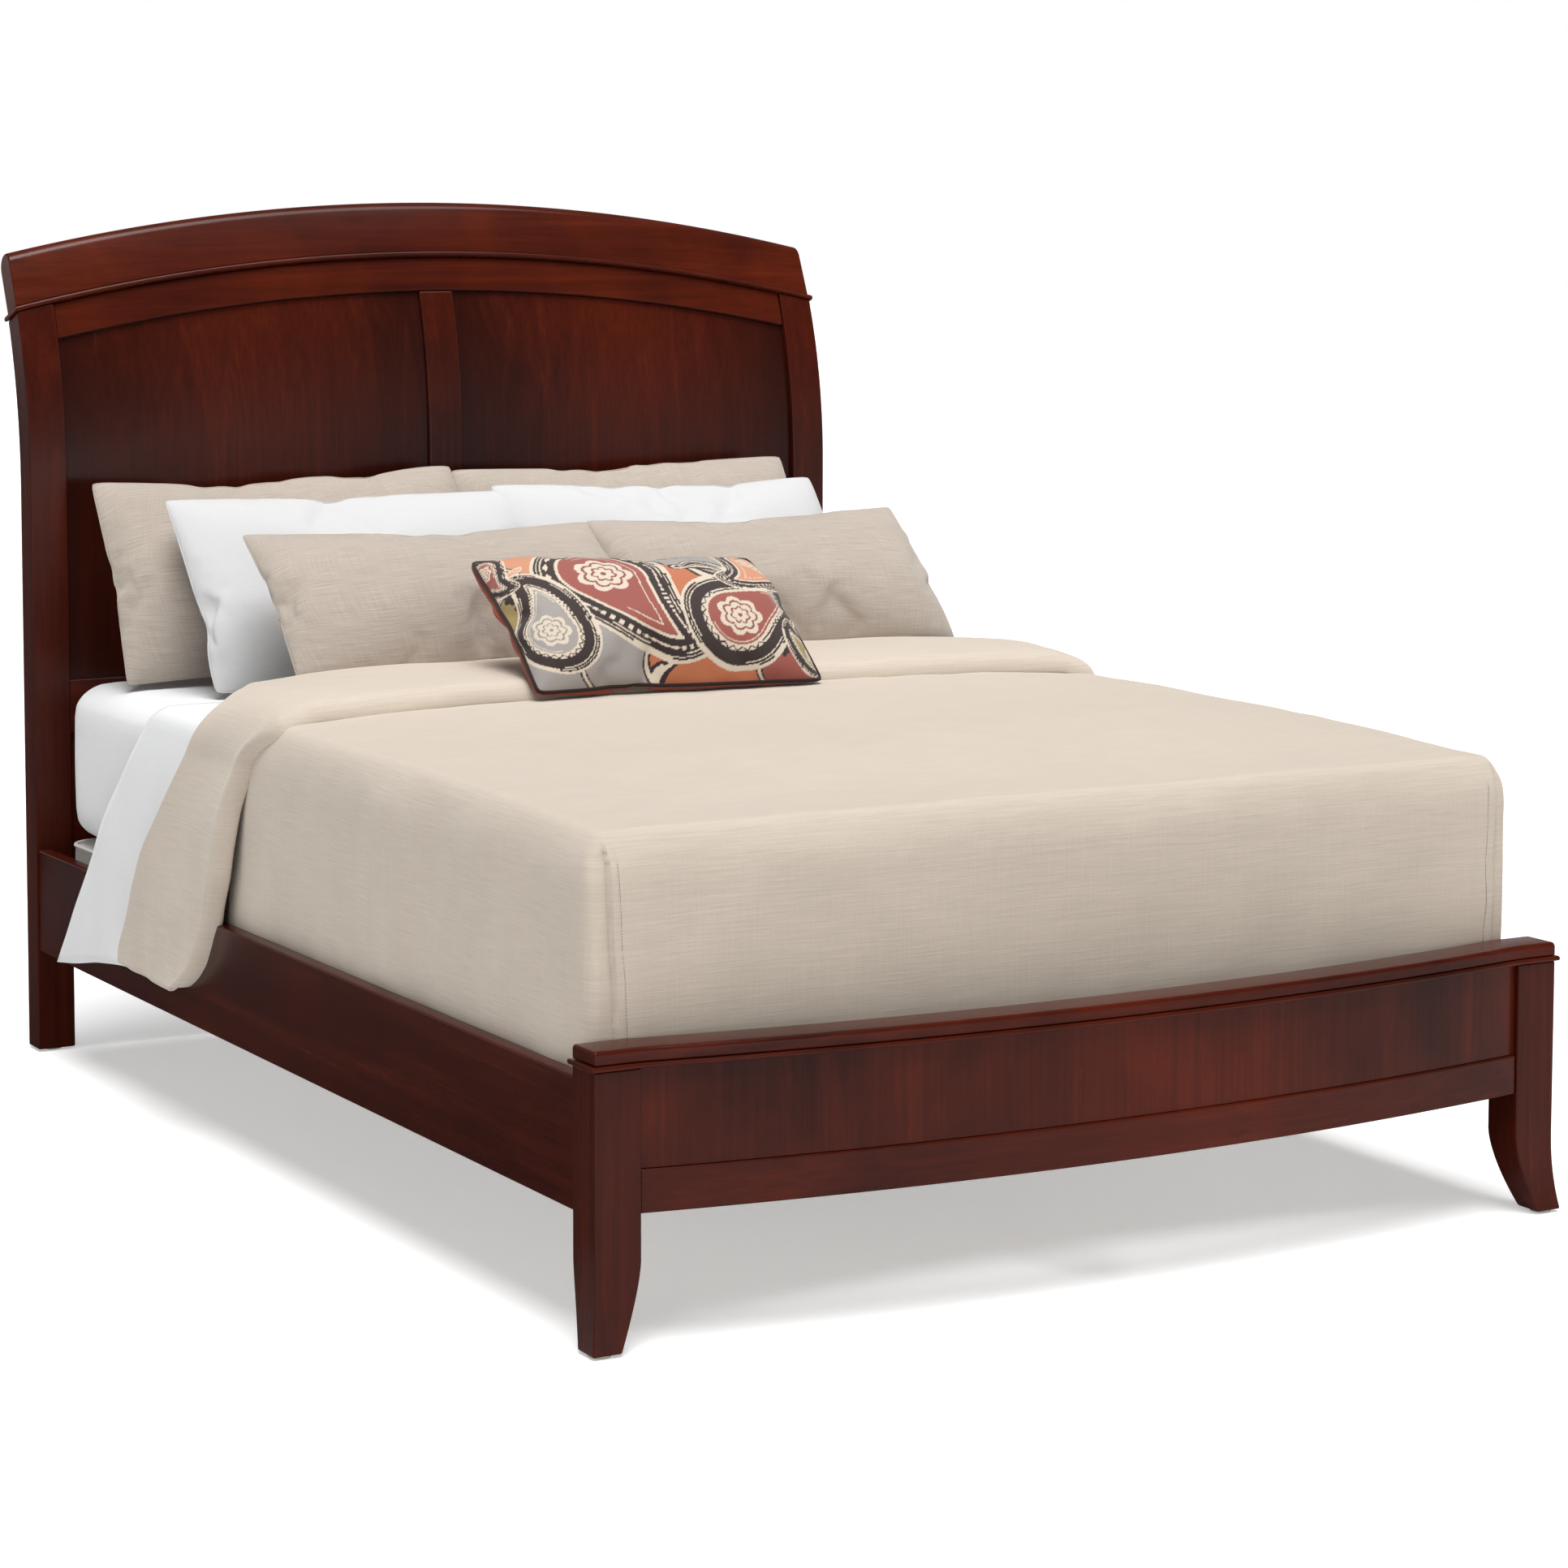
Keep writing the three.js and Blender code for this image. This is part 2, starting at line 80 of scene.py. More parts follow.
class SleighFrameSizes(bpy.types.PropertyGroup):
    """Sizes of the wooden frame."""

    arch_rise: length("Arch rise", "How far the headboard rises in its middle", 0.092)
    bend_start: length("Bend start", "Height at which the headboard starts to lean back", 1.0)
    bend_radius: length("Bend radius", "Radius of the headboard's backward curve", 0.9)
    bend_lift: FloatProperty(
        name="Bend lift", description="Share of the arch that the bend rises by", default=0.75
    )
    cap_end_top: length("Cap end height", "Top of the headboard cap at its two ends", 1.437)
    cap_height: length("Cap height", "Height of the headboard cap", 0.111)
    bead_height: length("Bead height", "Height of the bead under the headboard cap", 0.009)
    bead_lip: length("Bead lip", "How far the beads stand out", 0.005)
    top_rail_height: length("Top rail height", "Height of the rail under the bead", 0.066)
    stile_width: length("Stile width", "Width of the headboard's middle stile", 0.068)
    post_width: length("Post width", "Width of a headboard post", 0.068)
    post_depth: length("Post depth", "Depth of a headboard post", 0.054)
    leg_width: length("Leg width", "Width of a footboard leg", 0.069)
    leg_depth: length("Leg depth", "Depth of a footboard leg", 0.066)
    bow: length("Bow", "How far the footboard bows out between its legs", 0.064)
    ease: length("Eased edge", "Rounding of the wood's edges", 0.0022)


class SleighBeddingSizes(bpy.types.PropertyGroup):
    """Sizes of the bedding."""

    duvet_corner: length("Duvet corner", "Radius of the duvet's upright corners", 0.034)
    duvet_edge: length("Duvet edge", "Radius of the duvet's upper edge", 0.085)
    duvet_loft: length("Duvet loft", "Thickness of the duvet", 0.009)
    crown: length("Crown", "How far the bedding rises in its middle", 0.02)
    fold_loft: length("Fold loft", "Thickness of the folded part of the duvet", 0.017)
    sheet_thickness: length("Sheet thickness", "Thickness of the top sheet", 0.0024)
    hem: length("Hem", "Width of the duvet's hem at the foot corners", 0.014)
    piping: length("Piping", "Radius of the piping round the patterned pillow", 0.0034)
    seam: length("Seam", "Radius of the seam round the plain pillows", 0.0013)
    sim_frames: IntProperty(
        name="Simulated frames", description="Frames that a pillow is inflated for", default=20
    )


class SleighColours(bpy.types.PropertyGroup):
    """Colours of the materials."""

    wood_dark: colour("Wood, dark", "Dark streaks of the stained wood", (0.016, 0.0032, 0.0020))
    wood_base: colour("Wood", "Main colour of the stained wood", (0.042, 0.0060, 0.0028))
    wood_warm: colour("Wood, warm", "Red-brown patches of the stained wood", (0.120, 0.0155, 0.0040))
    raw_wood: colour("Plain wood", "Unstained softwood", (0.48, 0.29, 0.14))
    linen: colour("Linen", "Duvet and its folded part", (0.565, 0.487, 0.408))
    # Painted shade: the shams' linen is the duvet's linen at about three quarters of its brightness,
    # darkened for the light that falls on the pillows.
    shaded_sham_linen: colour("Pillow linen", "Shams", (0.415, 0.357, 0.305))
    cotton: colour("Cotton", "Sheet and mattress cover", (0.76, 0.765, 0.77))
    # Painted shade: the pillowcases are the sheet's white cotton at about three quarters of its
    # brightness, darkened for the light that falls on the pillows.
    shaded_pillowcase: colour("Pillowcase", "White pillowcases", (0.55, 0.55, 0.555))
    ticking: colour("Ticking", "Foundation cover", (0.66, 0.64, 0.60))
    steel: colour("Steel", "Brackets and feet", (0.30, 0.31, 0.32))
    nylon: colour("Nylon", "Floor glides", (0.62, 0.58, 0.50))
    print_dark: colour("Print, dark", "Dark brown of the print and its piping", (0.020, 0.007, 0.006))
    print_red: colour("Print, red", "Back of the patterned pillow", (0.30, 0.045, 0.018))
    floor: colour("Floor", "Studio floor", (0.86, 0.86, 0.86))


def sizes():
    return bpy.context.scene.sleigh_frame


def bedding():
    return bpy.context.scene.sleigh_bedding


def colours():
    return bpy.context.scene.sleigh_colours


# ---------- meshes and pieces ----------


def mesh_from(name, points, faces):
    mesh = bpy.data.meshes.new(name)
    mesh.from_pydata([tuple(map(float, p)) for p in points], [], [list(map(int, f)) for f in faces])
    mesh.update()
    return mesh


def shade_smooth(mesh):
    mesh.polygons.foreach_set("use_smooth", np.ones(len(mesh.polygons), bool))


def temporary(name, mesh):
    """An object that only carries modifiers until its result is taken."""
    obj = bpy.data.objects.new(name, mesh)
    bpy.context.scene.collection.objects.link(obj)
    return obj


def result_of(obj):
    """The mesh that an object's modifiers make. The object itself is removed."""
    depsgraph = bpy.context.evaluated_depsgraph_get()
    mesh = bpy.data.meshes.new_from_object(
        obj.evaluated_get(depsgraph), preserve_all_data_layers=True, depsgraph=depsgraph
    )
    old = obj.data
    bpy.data.objects.remove(obj)
    if old.users == 0:
        bpy.data.meshes.remove(old)
    return mesh


def keep(name, mesh, material, replaces=(), body="frame"):
    """Makes a finished piece of a mesh, on its body, and hides the CAD nodes that it replaces."""
    mesh.name = name
    mesh.materials.clear()
    mesh.materials.append(material)
    shade_smooth(mesh)
    obj = bpy.data.objects.new(name, mesh)
    bpy.context.scene.collection.objects.link(obj)
    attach(obj, body)
    if replaces:
        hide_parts(*replaces)
    return obj


def spread(start, end, steps):
    return [start + (end - start) * i / steps for i in range(steps + 1)]


def loft(rings):
    """A closed body through rings of points, with flat ends."""
    count = len(rings[0])
    last = (len(rings) - 1) * count
    faces = []
    for first in range(0, last, count):
        for i in range(count):
            j = (i + 1) % count
            faces.append((first + i, first + j, first + count + j, first + count + i))
    faces.append(tuple(range(count))[::-1])
    faces.append(tuple(range(last, last + count)))
    mesh = mesh_from("loft", [p for ring in rings for p in ring], faces)
    face_outwards(mesh)
    return mesh


def face_outwards(mesh):
    bm = bmesh.new()
    bm.from_mesh(mesh)
    bmesh.ops.recalc_face_normals(bm, faces=bm.faces)
    bm.to_mesh(mesh)
    bm.free()


def eased(mesh, ease):
    """A mesh with its sharp edges rounded."""
    obj = temporary("easing", mesh)
    shade_smooth(mesh)
    bevel = obj.modifiers.new("Ease", "BEVEL")
    bevel.width = ease
    bevel.segments = 3
    bevel.limit_method = "ANGLE"
    bevel.angle_limit = math.radians(38)
    bevel.use_clamp_overlap = True
    bevel.harden_normals = True
    bevel.miter_outer = "MITER_ARC"
    return result_of(obj)


def thickened(name, mesh, thickness, offset=-1, levels=0):
    """A sheet of cloth with its thickness, which lies inwards unless the offset says otherwise."""
    obj = temporary(name, mesh)
    solid = obj.modifiers.new("Loft", "SOLIDIFY")
    solid.thickness = thickness
    solid.offset = offset
    return softened(obj, levels)


def softened(obj, levels):
    """The mesh of an object after its modifiers and so many rounds of smoothing."""
    if levels:
        soft = obj.modifiers.new("Soften", "SUBSURF")
        soft.levels = soft.render_levels = levels
    return result_of(obj)


def wooden(node, rings, material, ease=None):
    """A wooden piece that stands for the CAD node of that name."""
    mesh = eased(loft(rings), sizes().ease if ease is None else ease)
    return keep(f"{node}_finished", mesh, material, [node])


def eased_copy(node, ease, material, body="frame"):
    """The shape of a CAD node, welded and with its edges rounded."""
    bm = bmesh.new()
    bm.from_mesh(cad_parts[node].data)
    bmesh.ops.remove_doubles(bm, verts=bm.verts, dist=1e-5)
    bmesh.ops.dissolve_limit(bm, angle_limit=0.01, verts=bm.verts, edges=bm.edges)
    bmesh.ops.recalc_face_normals(bm, faces=bm.faces)
    mesh = bpy.data.meshes.new(node)
    bm.to_mesh(mesh)
    bm.free()
    return keep(f"{node}_finished", eased(mesh, ease), material, [node], body)


# ---------- materials ----------


def add_node(tree, kind, links=None, values=None, **settings):
    """Adds a node with its settings, its plain values and the sources of its sockets."""
    made = tree.nodes.new(kind)
    for key, value in settings.items():
        setattr(made, key, value)
    for socket, value in (values or {}).items():
        made.inputs[socket].default_value = value
    for socket, source in (links or {}).items():
        tree.links.new(source, made.inputs[socket])
    return made


def between(low, high, to_low, to_high):
    """The values of a Map Range node's sockets."""
    return dict(zip(range(1, 5), (low, high, to_low, to_high)))


class Shader:
    """A material whose nodes are added by short calls."""

    def __init__(self, name, **sockets):
        self.material = bpy.data.materials.new(name)
        self.material.use_nodes = True
        self.tree = self.material.node_tree
        self.surface = self.tree.nodes["Principled BSDF"]
        for socket, value in sockets.items():
            label = socket.replace("_", " ").title().replace("Ior", "IOR")
            self.surface.inputs[label].default_value = value

    def node(self, kind, links=None, values=None, **settings):
        return add_node(self.tree, kind, links, values, **settings)

    def link(self, source, socket):
        self.tree.links.new(source, self.surface.inputs[socket])

    def put(self, socket, value):
        """Links a socket to a source, or sets it to a number or a colour."""
        if isinstance(value, bpy.types.NodeSocket):
            self.tree.links.new(value, socket)
        else:
            socket.default_value = (*value[:3], 1) if hasattr(value, "__len__") else value

    def coordinates(self, scale, attribute=None):
        """Object coordinates, or those of an attribute, stretched by scale."""
        if attribute:
            source = self.node("ShaderNodeAttribute", attribute_name=attribute).outputs["Vector"]
        else:
            source = self.node("ShaderNodeTexCoord").outputs["Object"]
        return self.node("ShaderNodeMapping", {0: source}, {"Scale": scale}).outputs[0]

    def noise(self, scale, attribute=None, detail=3.0, roughness=0.55, distortion=0.0):
        vector = self.coordinates(scale, attribute)
        values = {"Scale": 1.0, "Detail": detail, "Roughness": roughness, "Distortion": distortion}
        return self.node("ShaderNodeTexNoise", {"Vector": vector}, values).outputs["Fac"]

    def ramp(self, value, stops):
        made = self.node("ShaderNodeValToRGB", {0: value})
        elements = made.color_ramp.elements
        for position, _ in stops[2:]:
            elements.new(position)
        for element, (position, shade) in zip(elements, stops):
            element.position = position
            element.color = (*shade[:3], 1)
        return made.outputs[0]

    def mix(self, factor, first, second):
        made = self.node("ShaderNodeMix", data_type="RGBA")
        for socket, value in ((0, factor), (6, first), (7, second)):
            self.put(made.inputs[socket], value)
        return made.outputs[2]

    def math(self, operation, *values):
        made = self.node("ShaderNodeMath", operation=operation)
        for socket, value in zip(made.inputs, values):
            self.put(socket, value)
        return made.outputs[0]

    def range(self, value, *limits):
        return self.node("ShaderNodeMapRange", {0: value}, between(*limits)).outputs[0]

    def bump(self, height, strength, distance):
        values = {"Strength": strength, "Distance": distance}
        self.link(self.node("ShaderNodeBump", {"Height": height}, values).outputs[0], "Normal")


def scaled(shade, factor):
    """A colour made lighter or darker."""
    return [min(1, value * factor) for value in shade]


def made_once(build):
    """Builds a material, or gives back the one that has its name already."""

    def give(name, *details, **more):
        if name in bpy.data.materials:
            return bpy.data.materials[name]
        return build(name, *details, **more)

    return give


@made_once
def stained_wood(name, grain, warmth, recess_shade=None):
    """Red-brown stained wood with its grain along the axis named.

    A recess shade is painted shade, darker towards a panel's sides where it lies recessed, round
    a warmer middle: that middle, and how far from there the shade starts and is full.
    """
    c = colours()
    shader = Shader(name, specular_ior_level=0.17)
    stretch = [
        tuple(low if axis == grain else high for axis in "xyz")
        for low, high in ((1.1, 26), (2.4, 150), (9, 620))
    ]
    cloud = shader.noise((2.6, 2.6, 2.6), detail=4, distortion=0.4)
    figure = shader.noise(stretch[0], detail=5, roughness=0.6, distortion=0.9)
    streak = shader.noise(stretch[1], detail=3, roughness=0.6)
    pore = shader.noise(stretch[2], detail=2, roughness=0.5)
    body = shader.ramp(figure, [(0.12, c.wood_dark), (0.52, c.wood_base), (1.0, c.wood_warm)])
    body = shader.mix(shader.range(cloud, 0.36, 0.72, 0.0, warmth), body, c.wood_warm)
    # Painted shade: the panel darkens towards its sides, where it lies recessed beside stile and
    # posts; its middle is warmer.
    if recess_shade:
        middle, near, far = recess_shade
        split = shader.node("ShaderNodeSeparateXYZ", {0: shader.coordinates((1, 1, 1))})
        across = shader.math("ABSOLUTE", split.outputs["X"])
        out = shader.math("ABSOLUTE", shader.math("SUBTRACT", across, middle))
        out = shader.math("MULTIPLY_ADD", cloud, 0.12, out)
        body = shader.mix(shader.range(out, 0.0, near, 0.35, 0.0), body, c.wood_warm)
        body = shader.mix(shader.range(out, near, far, 0.0, 0.8), body, c.wood_dark)
    body = shader.mix(shader.range(streak, 0.35, 0.65, 0.28, 0.0), body, c.wood_dark)
    body = shader.mix(shader.range(pore, 0.60, 0.72, 0.0, 0.35), body, c.wood_dark)
    shader.link(body, "Base Color")
    shader.link(shader.range(figure, 0.3, 0.7, 0.20, 0.28), "Roughness")
    shader.bump(pore, 0.12, 0.0004)
    return shader.material


@made_once
def plain_wood(name):
    shade = colours().raw_wood
    shader = Shader(name, roughness=0.62)
    rings = shader.noise((3, 22, 60), detail=4, distortion=1.2)
    fibre = shader.noise((9, 260, 260), detail=2)
    dark = scaled(shade, 0.55)
    body = shader.ramp(rings, [(0.35, dark), (0.5, shade), (0.66, scaled(shade, 1.25))])
    shader.link(shader.mix(shader.range(fibre, 0.4, 0.7, 0.0, 0.35), body, dark), "Base Color")
    shader.bump(fibre, 0.3, 0.0005)
    return shader.material


@made_once
def metal(name, shade, roughness):
    shader = Shader(name, metallic=0.9)
    brushed = shader.noise((30, 30, 400), detail=3)
    spots = shader.range(shader.noise((40, 40, 40), detail=4), 0.45, 0.7, 0, 0.7)
    shader.link(shader.mix(spots, shade, scaled(shade, 0.7)), "Base Color")
    shader.link(shader.range(brushed, 0.3, 0.7, roughness - 0.08, roughness + 0.1), "Roughness")
    return shader.material


@made_once
def moulded(name, shade):
    shader = Shader(name, roughness=0.45)
    speck = shader.noise((300, 300, 300), detail=2)
    dull = shader.range(speck, 0.4, 0.7, 0, 0.6)
    shader.link(shader.mix(dull, shade, scaled(shade, 0.85)), "Base Color")
    shader.bump(speck, 0.2, 0.0003)
    return shader.material


def cloth_shader(name, roughness, sheen):
    return Shader(
        name,
        roughness=roughness,
        sheen_weight=sheen,
        sheen_roughness=0.5,
        sheen_tint=(1.0, 0.97, 0.93, 1),
        specular_ior_level=0.2,
    )


@made_once
def woven(name, shade, slub=0.3, roughness=0.92, sheen=0.25, depth=0.0007):
    """Woven cloth whose threads follow the cloth's own flat coordinates."""
    shader = cloth_shader(name, roughness, sheen)
    weft = shader.noise((16, 620, 1), "cloth", roughness=0.65)
    warp = shader.noise((560, 12, 1), "cloth", roughness=0.65)
    blotch = shader.noise((5, 9, 1), "cloth")
    fine = shader.noise((1400, 1400, 1), "cloth", detail=1)
    threads = shader.range(shader.math("MULTIPLY_ADD", warp, 0.45, weft), 0.52, 0.93, 0.0, 1.0)
    dark = scaled(shade, 1 - 0.34 * slub)
    body = shader.mix(threads, dark, scaled(shade, 1 + 0.30 * slub))
    body = shader.mix(shader.range(blotch, 0.35, 0.7, 0.0, 0.5 * slub), body, dark)
    shader.link(body, "Base Color")
    shader.bump(shader.math("MULTIPLY_ADD", fine, 0.35, threads), 0.35, depth)
    return shader.material


@made_once
def draped_linen(name):
    """Linen whose slubs lie level on the duvet's top and on its sides alike."""
    shade = colours().linen
    shader = cloth_shader(name, 0.92, 0.3)
    flat = shader.noise((14, 560, 14), roughness=0.65)
    wall = shader.noise((14, 14, 560), roughness=0.65)
    cross = shader.noise((430, 430, 12), detail=2, roughness=0.6)
    normal = shader.node("ShaderNodeNewGeometry").outputs["Normal"]
    up = shader.node("ShaderNodeSeparateXYZ", {0: normal}).outputs["Z"]
    level = shader.range(up, 0.62, 0.82, 0.0, 1.0)
    lying = shader.math("MULTIPLY", flat, level)
    hanging = shader.math("MULTIPLY", wall, shader.math("SUBTRACT", 1.0, level))
    slub = shader.math("MULTIPLY_ADD", cross, 0.3, shader.math("ADD", lying, hanging))
    threads = shader.range(slub, 0.42, 0.86, 0.0, 1.0)
    blotch = shader.noise((5, 7, 9))
    dark = scaled(shade, 0.90)
    body = shader.mix(threads, dark, scaled(shade, 1.09))
    body = shader.mix(shader.range(blotch, 0.35, 0.7, 0.0, 0.22), body, dark)
    shader.link(body, "Base Color")
    shader.bump(threads, 0.25, 0.0006)
    return shader.material


def printed(name):
    """The patterned cloth: its colours are painted on the cloth itself."""
    shader = Shader(name, roughness=0.85, sheen_weight=0.2)
    paint = shader.node("ShaderNodeAttribute", attribute_name="print").outputs["Color"]
    weave = shader.noise((900, 900, 1), "cloth", detail=2)
    worn = shader.mix(shader.range(weave, 0.3, 0.75, 0.25, 0.0), paint, (0.02, 0.012, 0.01))
    shader.link(worn, "Base Color")
    shader.bump(weave, 0.4, 0.0006)
    return shader.material


def cotton(name, shade):
    return woven(name, shade, slub=0.10, roughness=0.9, sheen=0.15, depth=0.0003)


# ---------- node trees for what follows a path or repeats ----------


def node_tree(name, **inputs):
    """A geometry tree with its named sizes and a material, and the sockets they come in by."""
    tree = bpy.data.node_groups.new(name, "GeometryNodeTree")
    face = tree.interface
    face.new_socket("Geometry", in_out="INPUT", socket_type="NodeSocketGeometry")
    for label, default in inputs.items():
        socket = face.new_socket(label, in_out="INPUT", socket_type="NodeSocketFloat")
        socket.default_value = default
    face.new_socket("Material", in_out="INPUT", socket_type="NodeSocketMaterial")
    face.new_socket("Geometry", in_out="OUTPUT", socket_type="NodeSocketGeometry")
    return tree, tree.nodes.new("NodeGroupInput").outputs


def close_tree(tree, source, entry):
    """Ends a tree in Realize Instances and Set Material."""
    whole = add_node(tree, "GeometryNodeRealizeInstances", {0: source}).outputs[0]
    smooth = add_node(tree, "GeometryNodeSetShadeSmooth", {0: whole}).outputs[0]
    paint = {0: smooth, "Material": entry["Material"]}
    painted = add_node(tree, "GeometryNodeSetMaterial", paint).outputs[0]
    add_node(tree, "NodeGroupOutput", {0: painted})
    return tree


def share_of(tree, source, share):
    """A size that is a fixed share of another one."""
    return add_node(
        tree, "ShaderNodeMath", {0: source}, {1: share}, operation="MULTIPLY"
    ).outputs[0]


def scattered(tree, points, instance, along):
    """An instance at every point, with its Z axis along the direction there."""
    aim = add_node(tree, "FunctionNodeAlignRotationToVector", {"Vector": along}, axis="Z")
    links = {"Points": points, "Instance": instance, "Rotation": aim.outputs[0]}
    return add_node(tree, "GeometryNodeInstanceOnPoints", links).outputs[0]


def piping_tree(name):
    """A round cord laid along the edges of a line mesh."""
    tree, entry = node_tree(name, Radius=0.003)
    line = add_node(tree, "GeometryNodeMeshToCurve", {0: entry["Geometry"]}).outputs[0]
    ring = add_node(
        tree, "GeometryNodeCurvePrimitiveCircle", {"Radius": entry["Radius"]}, {"Resolution": 8}
    ).outputs[0]
    links = {"Curve": line, "Profile Curve": ring}
    tube = add_node(tree, "GeometryNodeCurveToMesh", links, {"Fill Caps": True})
    return close_tree(tree, tube.outputs[0], entry)


def stitch_tree(name):
    """Short threads set at even steps along a line mesh."""
    tree, entry = node_tree(name, Step=0.006, Radius=0.0006)
    line = add_node(tree, "GeometryNodeMeshToCurve", {0: entry["Geometry"]}).outputs[0]
    links = {"Curve": line, "Length": entry["Step"]}
    even = add_node(tree, "GeometryNodeResampleCurve", links, mode="LENGTH").outputs[0]
    tangent = add_node(tree, "GeometryNodeInputTangent").outputs[0]
    links = {"Depth": share_of(tree, entry["Step"], 0.62), "Radius": entry["Radius"]}
    thread = add_node(tree, "GeometryNodeMeshCylinder", links, {"Vertices": 6}).outputs["Mesh"]
    return close_tree(tree, scattered(tree, even, thread, tangent), entry)


def screw_tree(name):
    """A domed screw head on every point of a mesh, standing along the point's own direction."""
    tree, entry = node_tree(name, Radius=0.005)
    points = add_node(tree, "GeometryNodeMeshToPoints", {0: entry["Geometry"]}).outputs[0]
    along = add_node(
        tree, "GeometryNodeInputNamedAttribute", None, {"Name": "stands"}, data_type="FLOAT_VECTOR"
    ).outputs["Attribute"]
    wide = share_of(tree, entry["Radius"], 0.55)
    links = {"Radius Bottom": entry["Radius"], "Radius Top": wide, "Depth": wide}
    values = {"Vertices": 16, "Side Segments": 2}
    head = add_node(tree, "GeometryNodeMeshCone", links, values).outputs["Mesh"]
    return close_tree(tree, scattered(tree, points, head, along), entry)


TREES = {"Piping": piping_tree, "Stitches": stitch_tree, "Screws": screw_tree}


def grown(kind, mesh, **values):
    """The plain mesh that a kind of tree makes of a mesh, with its named inputs set."""
    groups = bpy.data.node_groups
    obj = temporary("growing", mesh)
    modifier = obj.modifiers.new("Tree", "NODES")
    modifier.node_group = groups[kind] if kind in groups else TREES[kind](kind)
    for item in modifier.node_group.interface.items_tree:
        label = item.name.lower()
        if item.item_type == "SOCKET" and item.in_out == "INPUT" and label in values:
            modifier[item.identifier] = values[label]
    return result_of(obj)


def line_mesh(lines):
    """A mesh of edges only, from lists of points. A line whose ends meet is closed."""
    points, edges = [], []
    for line in lines:
        first = len(points)
        closed = (Vector(line[0]) - Vector(line[-1])).length < 1e-6
        body = line[:-1] if closed else line
        points += [tuple(map(float, p)) for p in body]
        edges += [(first + i, first + i + 1) for i in range(len(body) - 1)]
        if closed:
            edges.append((len(points) - 1, first))
    mesh = bpy.data.meshes.new("line")
    mesh.from_pydata(points, edges, [])
    return mesh


# ---------- the curves that the wood follows ----------


def arch_at(x):
    return sizes().arch_rise * (1 - (x / HALF_WIDTH) ** 2)


def bend_start_at(x):
    return sizes().bend_start + sizes().bend_lift * max(0.0, arch_at(x))


def on_headboard(x, t, s):
    """A point of the headboard: x across, t back from its front face, s up along its face."""
    start, radius = bend_start_at(x), sizes().bend_radius
    if s <= start:
        return (x, HEAD_FACE + t, s)
    angle = (s - start) / radius
    reach = radius - t
    return (x, HEAD_FACE + radius - reach * math.cos(angle), start + reach * math.sin(angle))


def cap_bottom_at(x):
    return sizes().cap_end_top - sizes().cap_height + arch_at(x)


def bead_bottom_at(x):
    return cap_bottom_at(x) - sizes().bead_height


def panel_top_at(x):
    return bead_bottom_at(x) - sizes().top_rail_height


def bow_at(x):
    half = HALF_WIDTH - sizes().leg_width
    return sizes().bow * max(0.0, 1 - (x / half) ** 2)


def headboard_slab(xs, front, back, bottom, top_at, rows=26):
    """Rings across the headboard for a slab from a level bottom up to an arched top."""
    rings = []
    for x in xs:
        start, top = bend_start_at(x), top_at(x)
        levels = [bottom] if bottom < start else []
        levels += spread(max(start, bottom), top, rows)
        face = [on_headboard(x, front, s) for s in levels]
        rear = [on_headboard(x, back, s) for s in reversed(levels)]
        rings.append(face + rear)
    return rings


def arched(section, bottom_at, half):
    """Rings across the headboard for a section that follows its arch."""
    return [
        [on_headboard(x, t, bottom_at(x) + rise) for t, rise in section]
        for x in spread(-half, half, ARCH_STEPS)
    ]


def bowed(section, half, steps):
    """Rings across the footboard for a section that follows its bow."""
    return [
        [(x, FOOT_FACE + y - bow_at(x), z) for y, z in section] for x in spread(-half, half, steps)
    ]


def bead_section(depth, middle, radius):
    """The outline of a bead that stands out in front of and behind a piece of that depth."""
    lip = sizes().bead_lip
    outline = arc((depth + lip - radius, middle), radius, -90, 90, 8)
    return outline + arc((radius - lip, middle), radius, 90, 270, 8)


def arc(centre, radius, start, end, steps):
    return [
        (
            centre[0] + radius * math.cos(math.radians(a)),
            centre[1] + radius * math.sin(math.radians(a)),
        )
        for a in spread(start, end, steps)
    ]


# ---------- operators: the wooden frame ----------

# Gaps between the pieces, and how far each lies back from the front faces, in metres.
GAP = 0.0003
ARCH_GAP = 0.0007
HEAD_RAIL = (0.004, 0.028)
CAP_DEPTH = (0.002, 0.052)
HEAD_PANEL = (0.011, 0.020)
LOWER_RAIL = (0.565, 0.660)
BOTTOM_RAIL = (0.182, 0.250)
FOOT_RAIL = (0.004, 0.028)
FOOT_PANEL = (0.009, 0.020)
ARCH_STEPS = 56


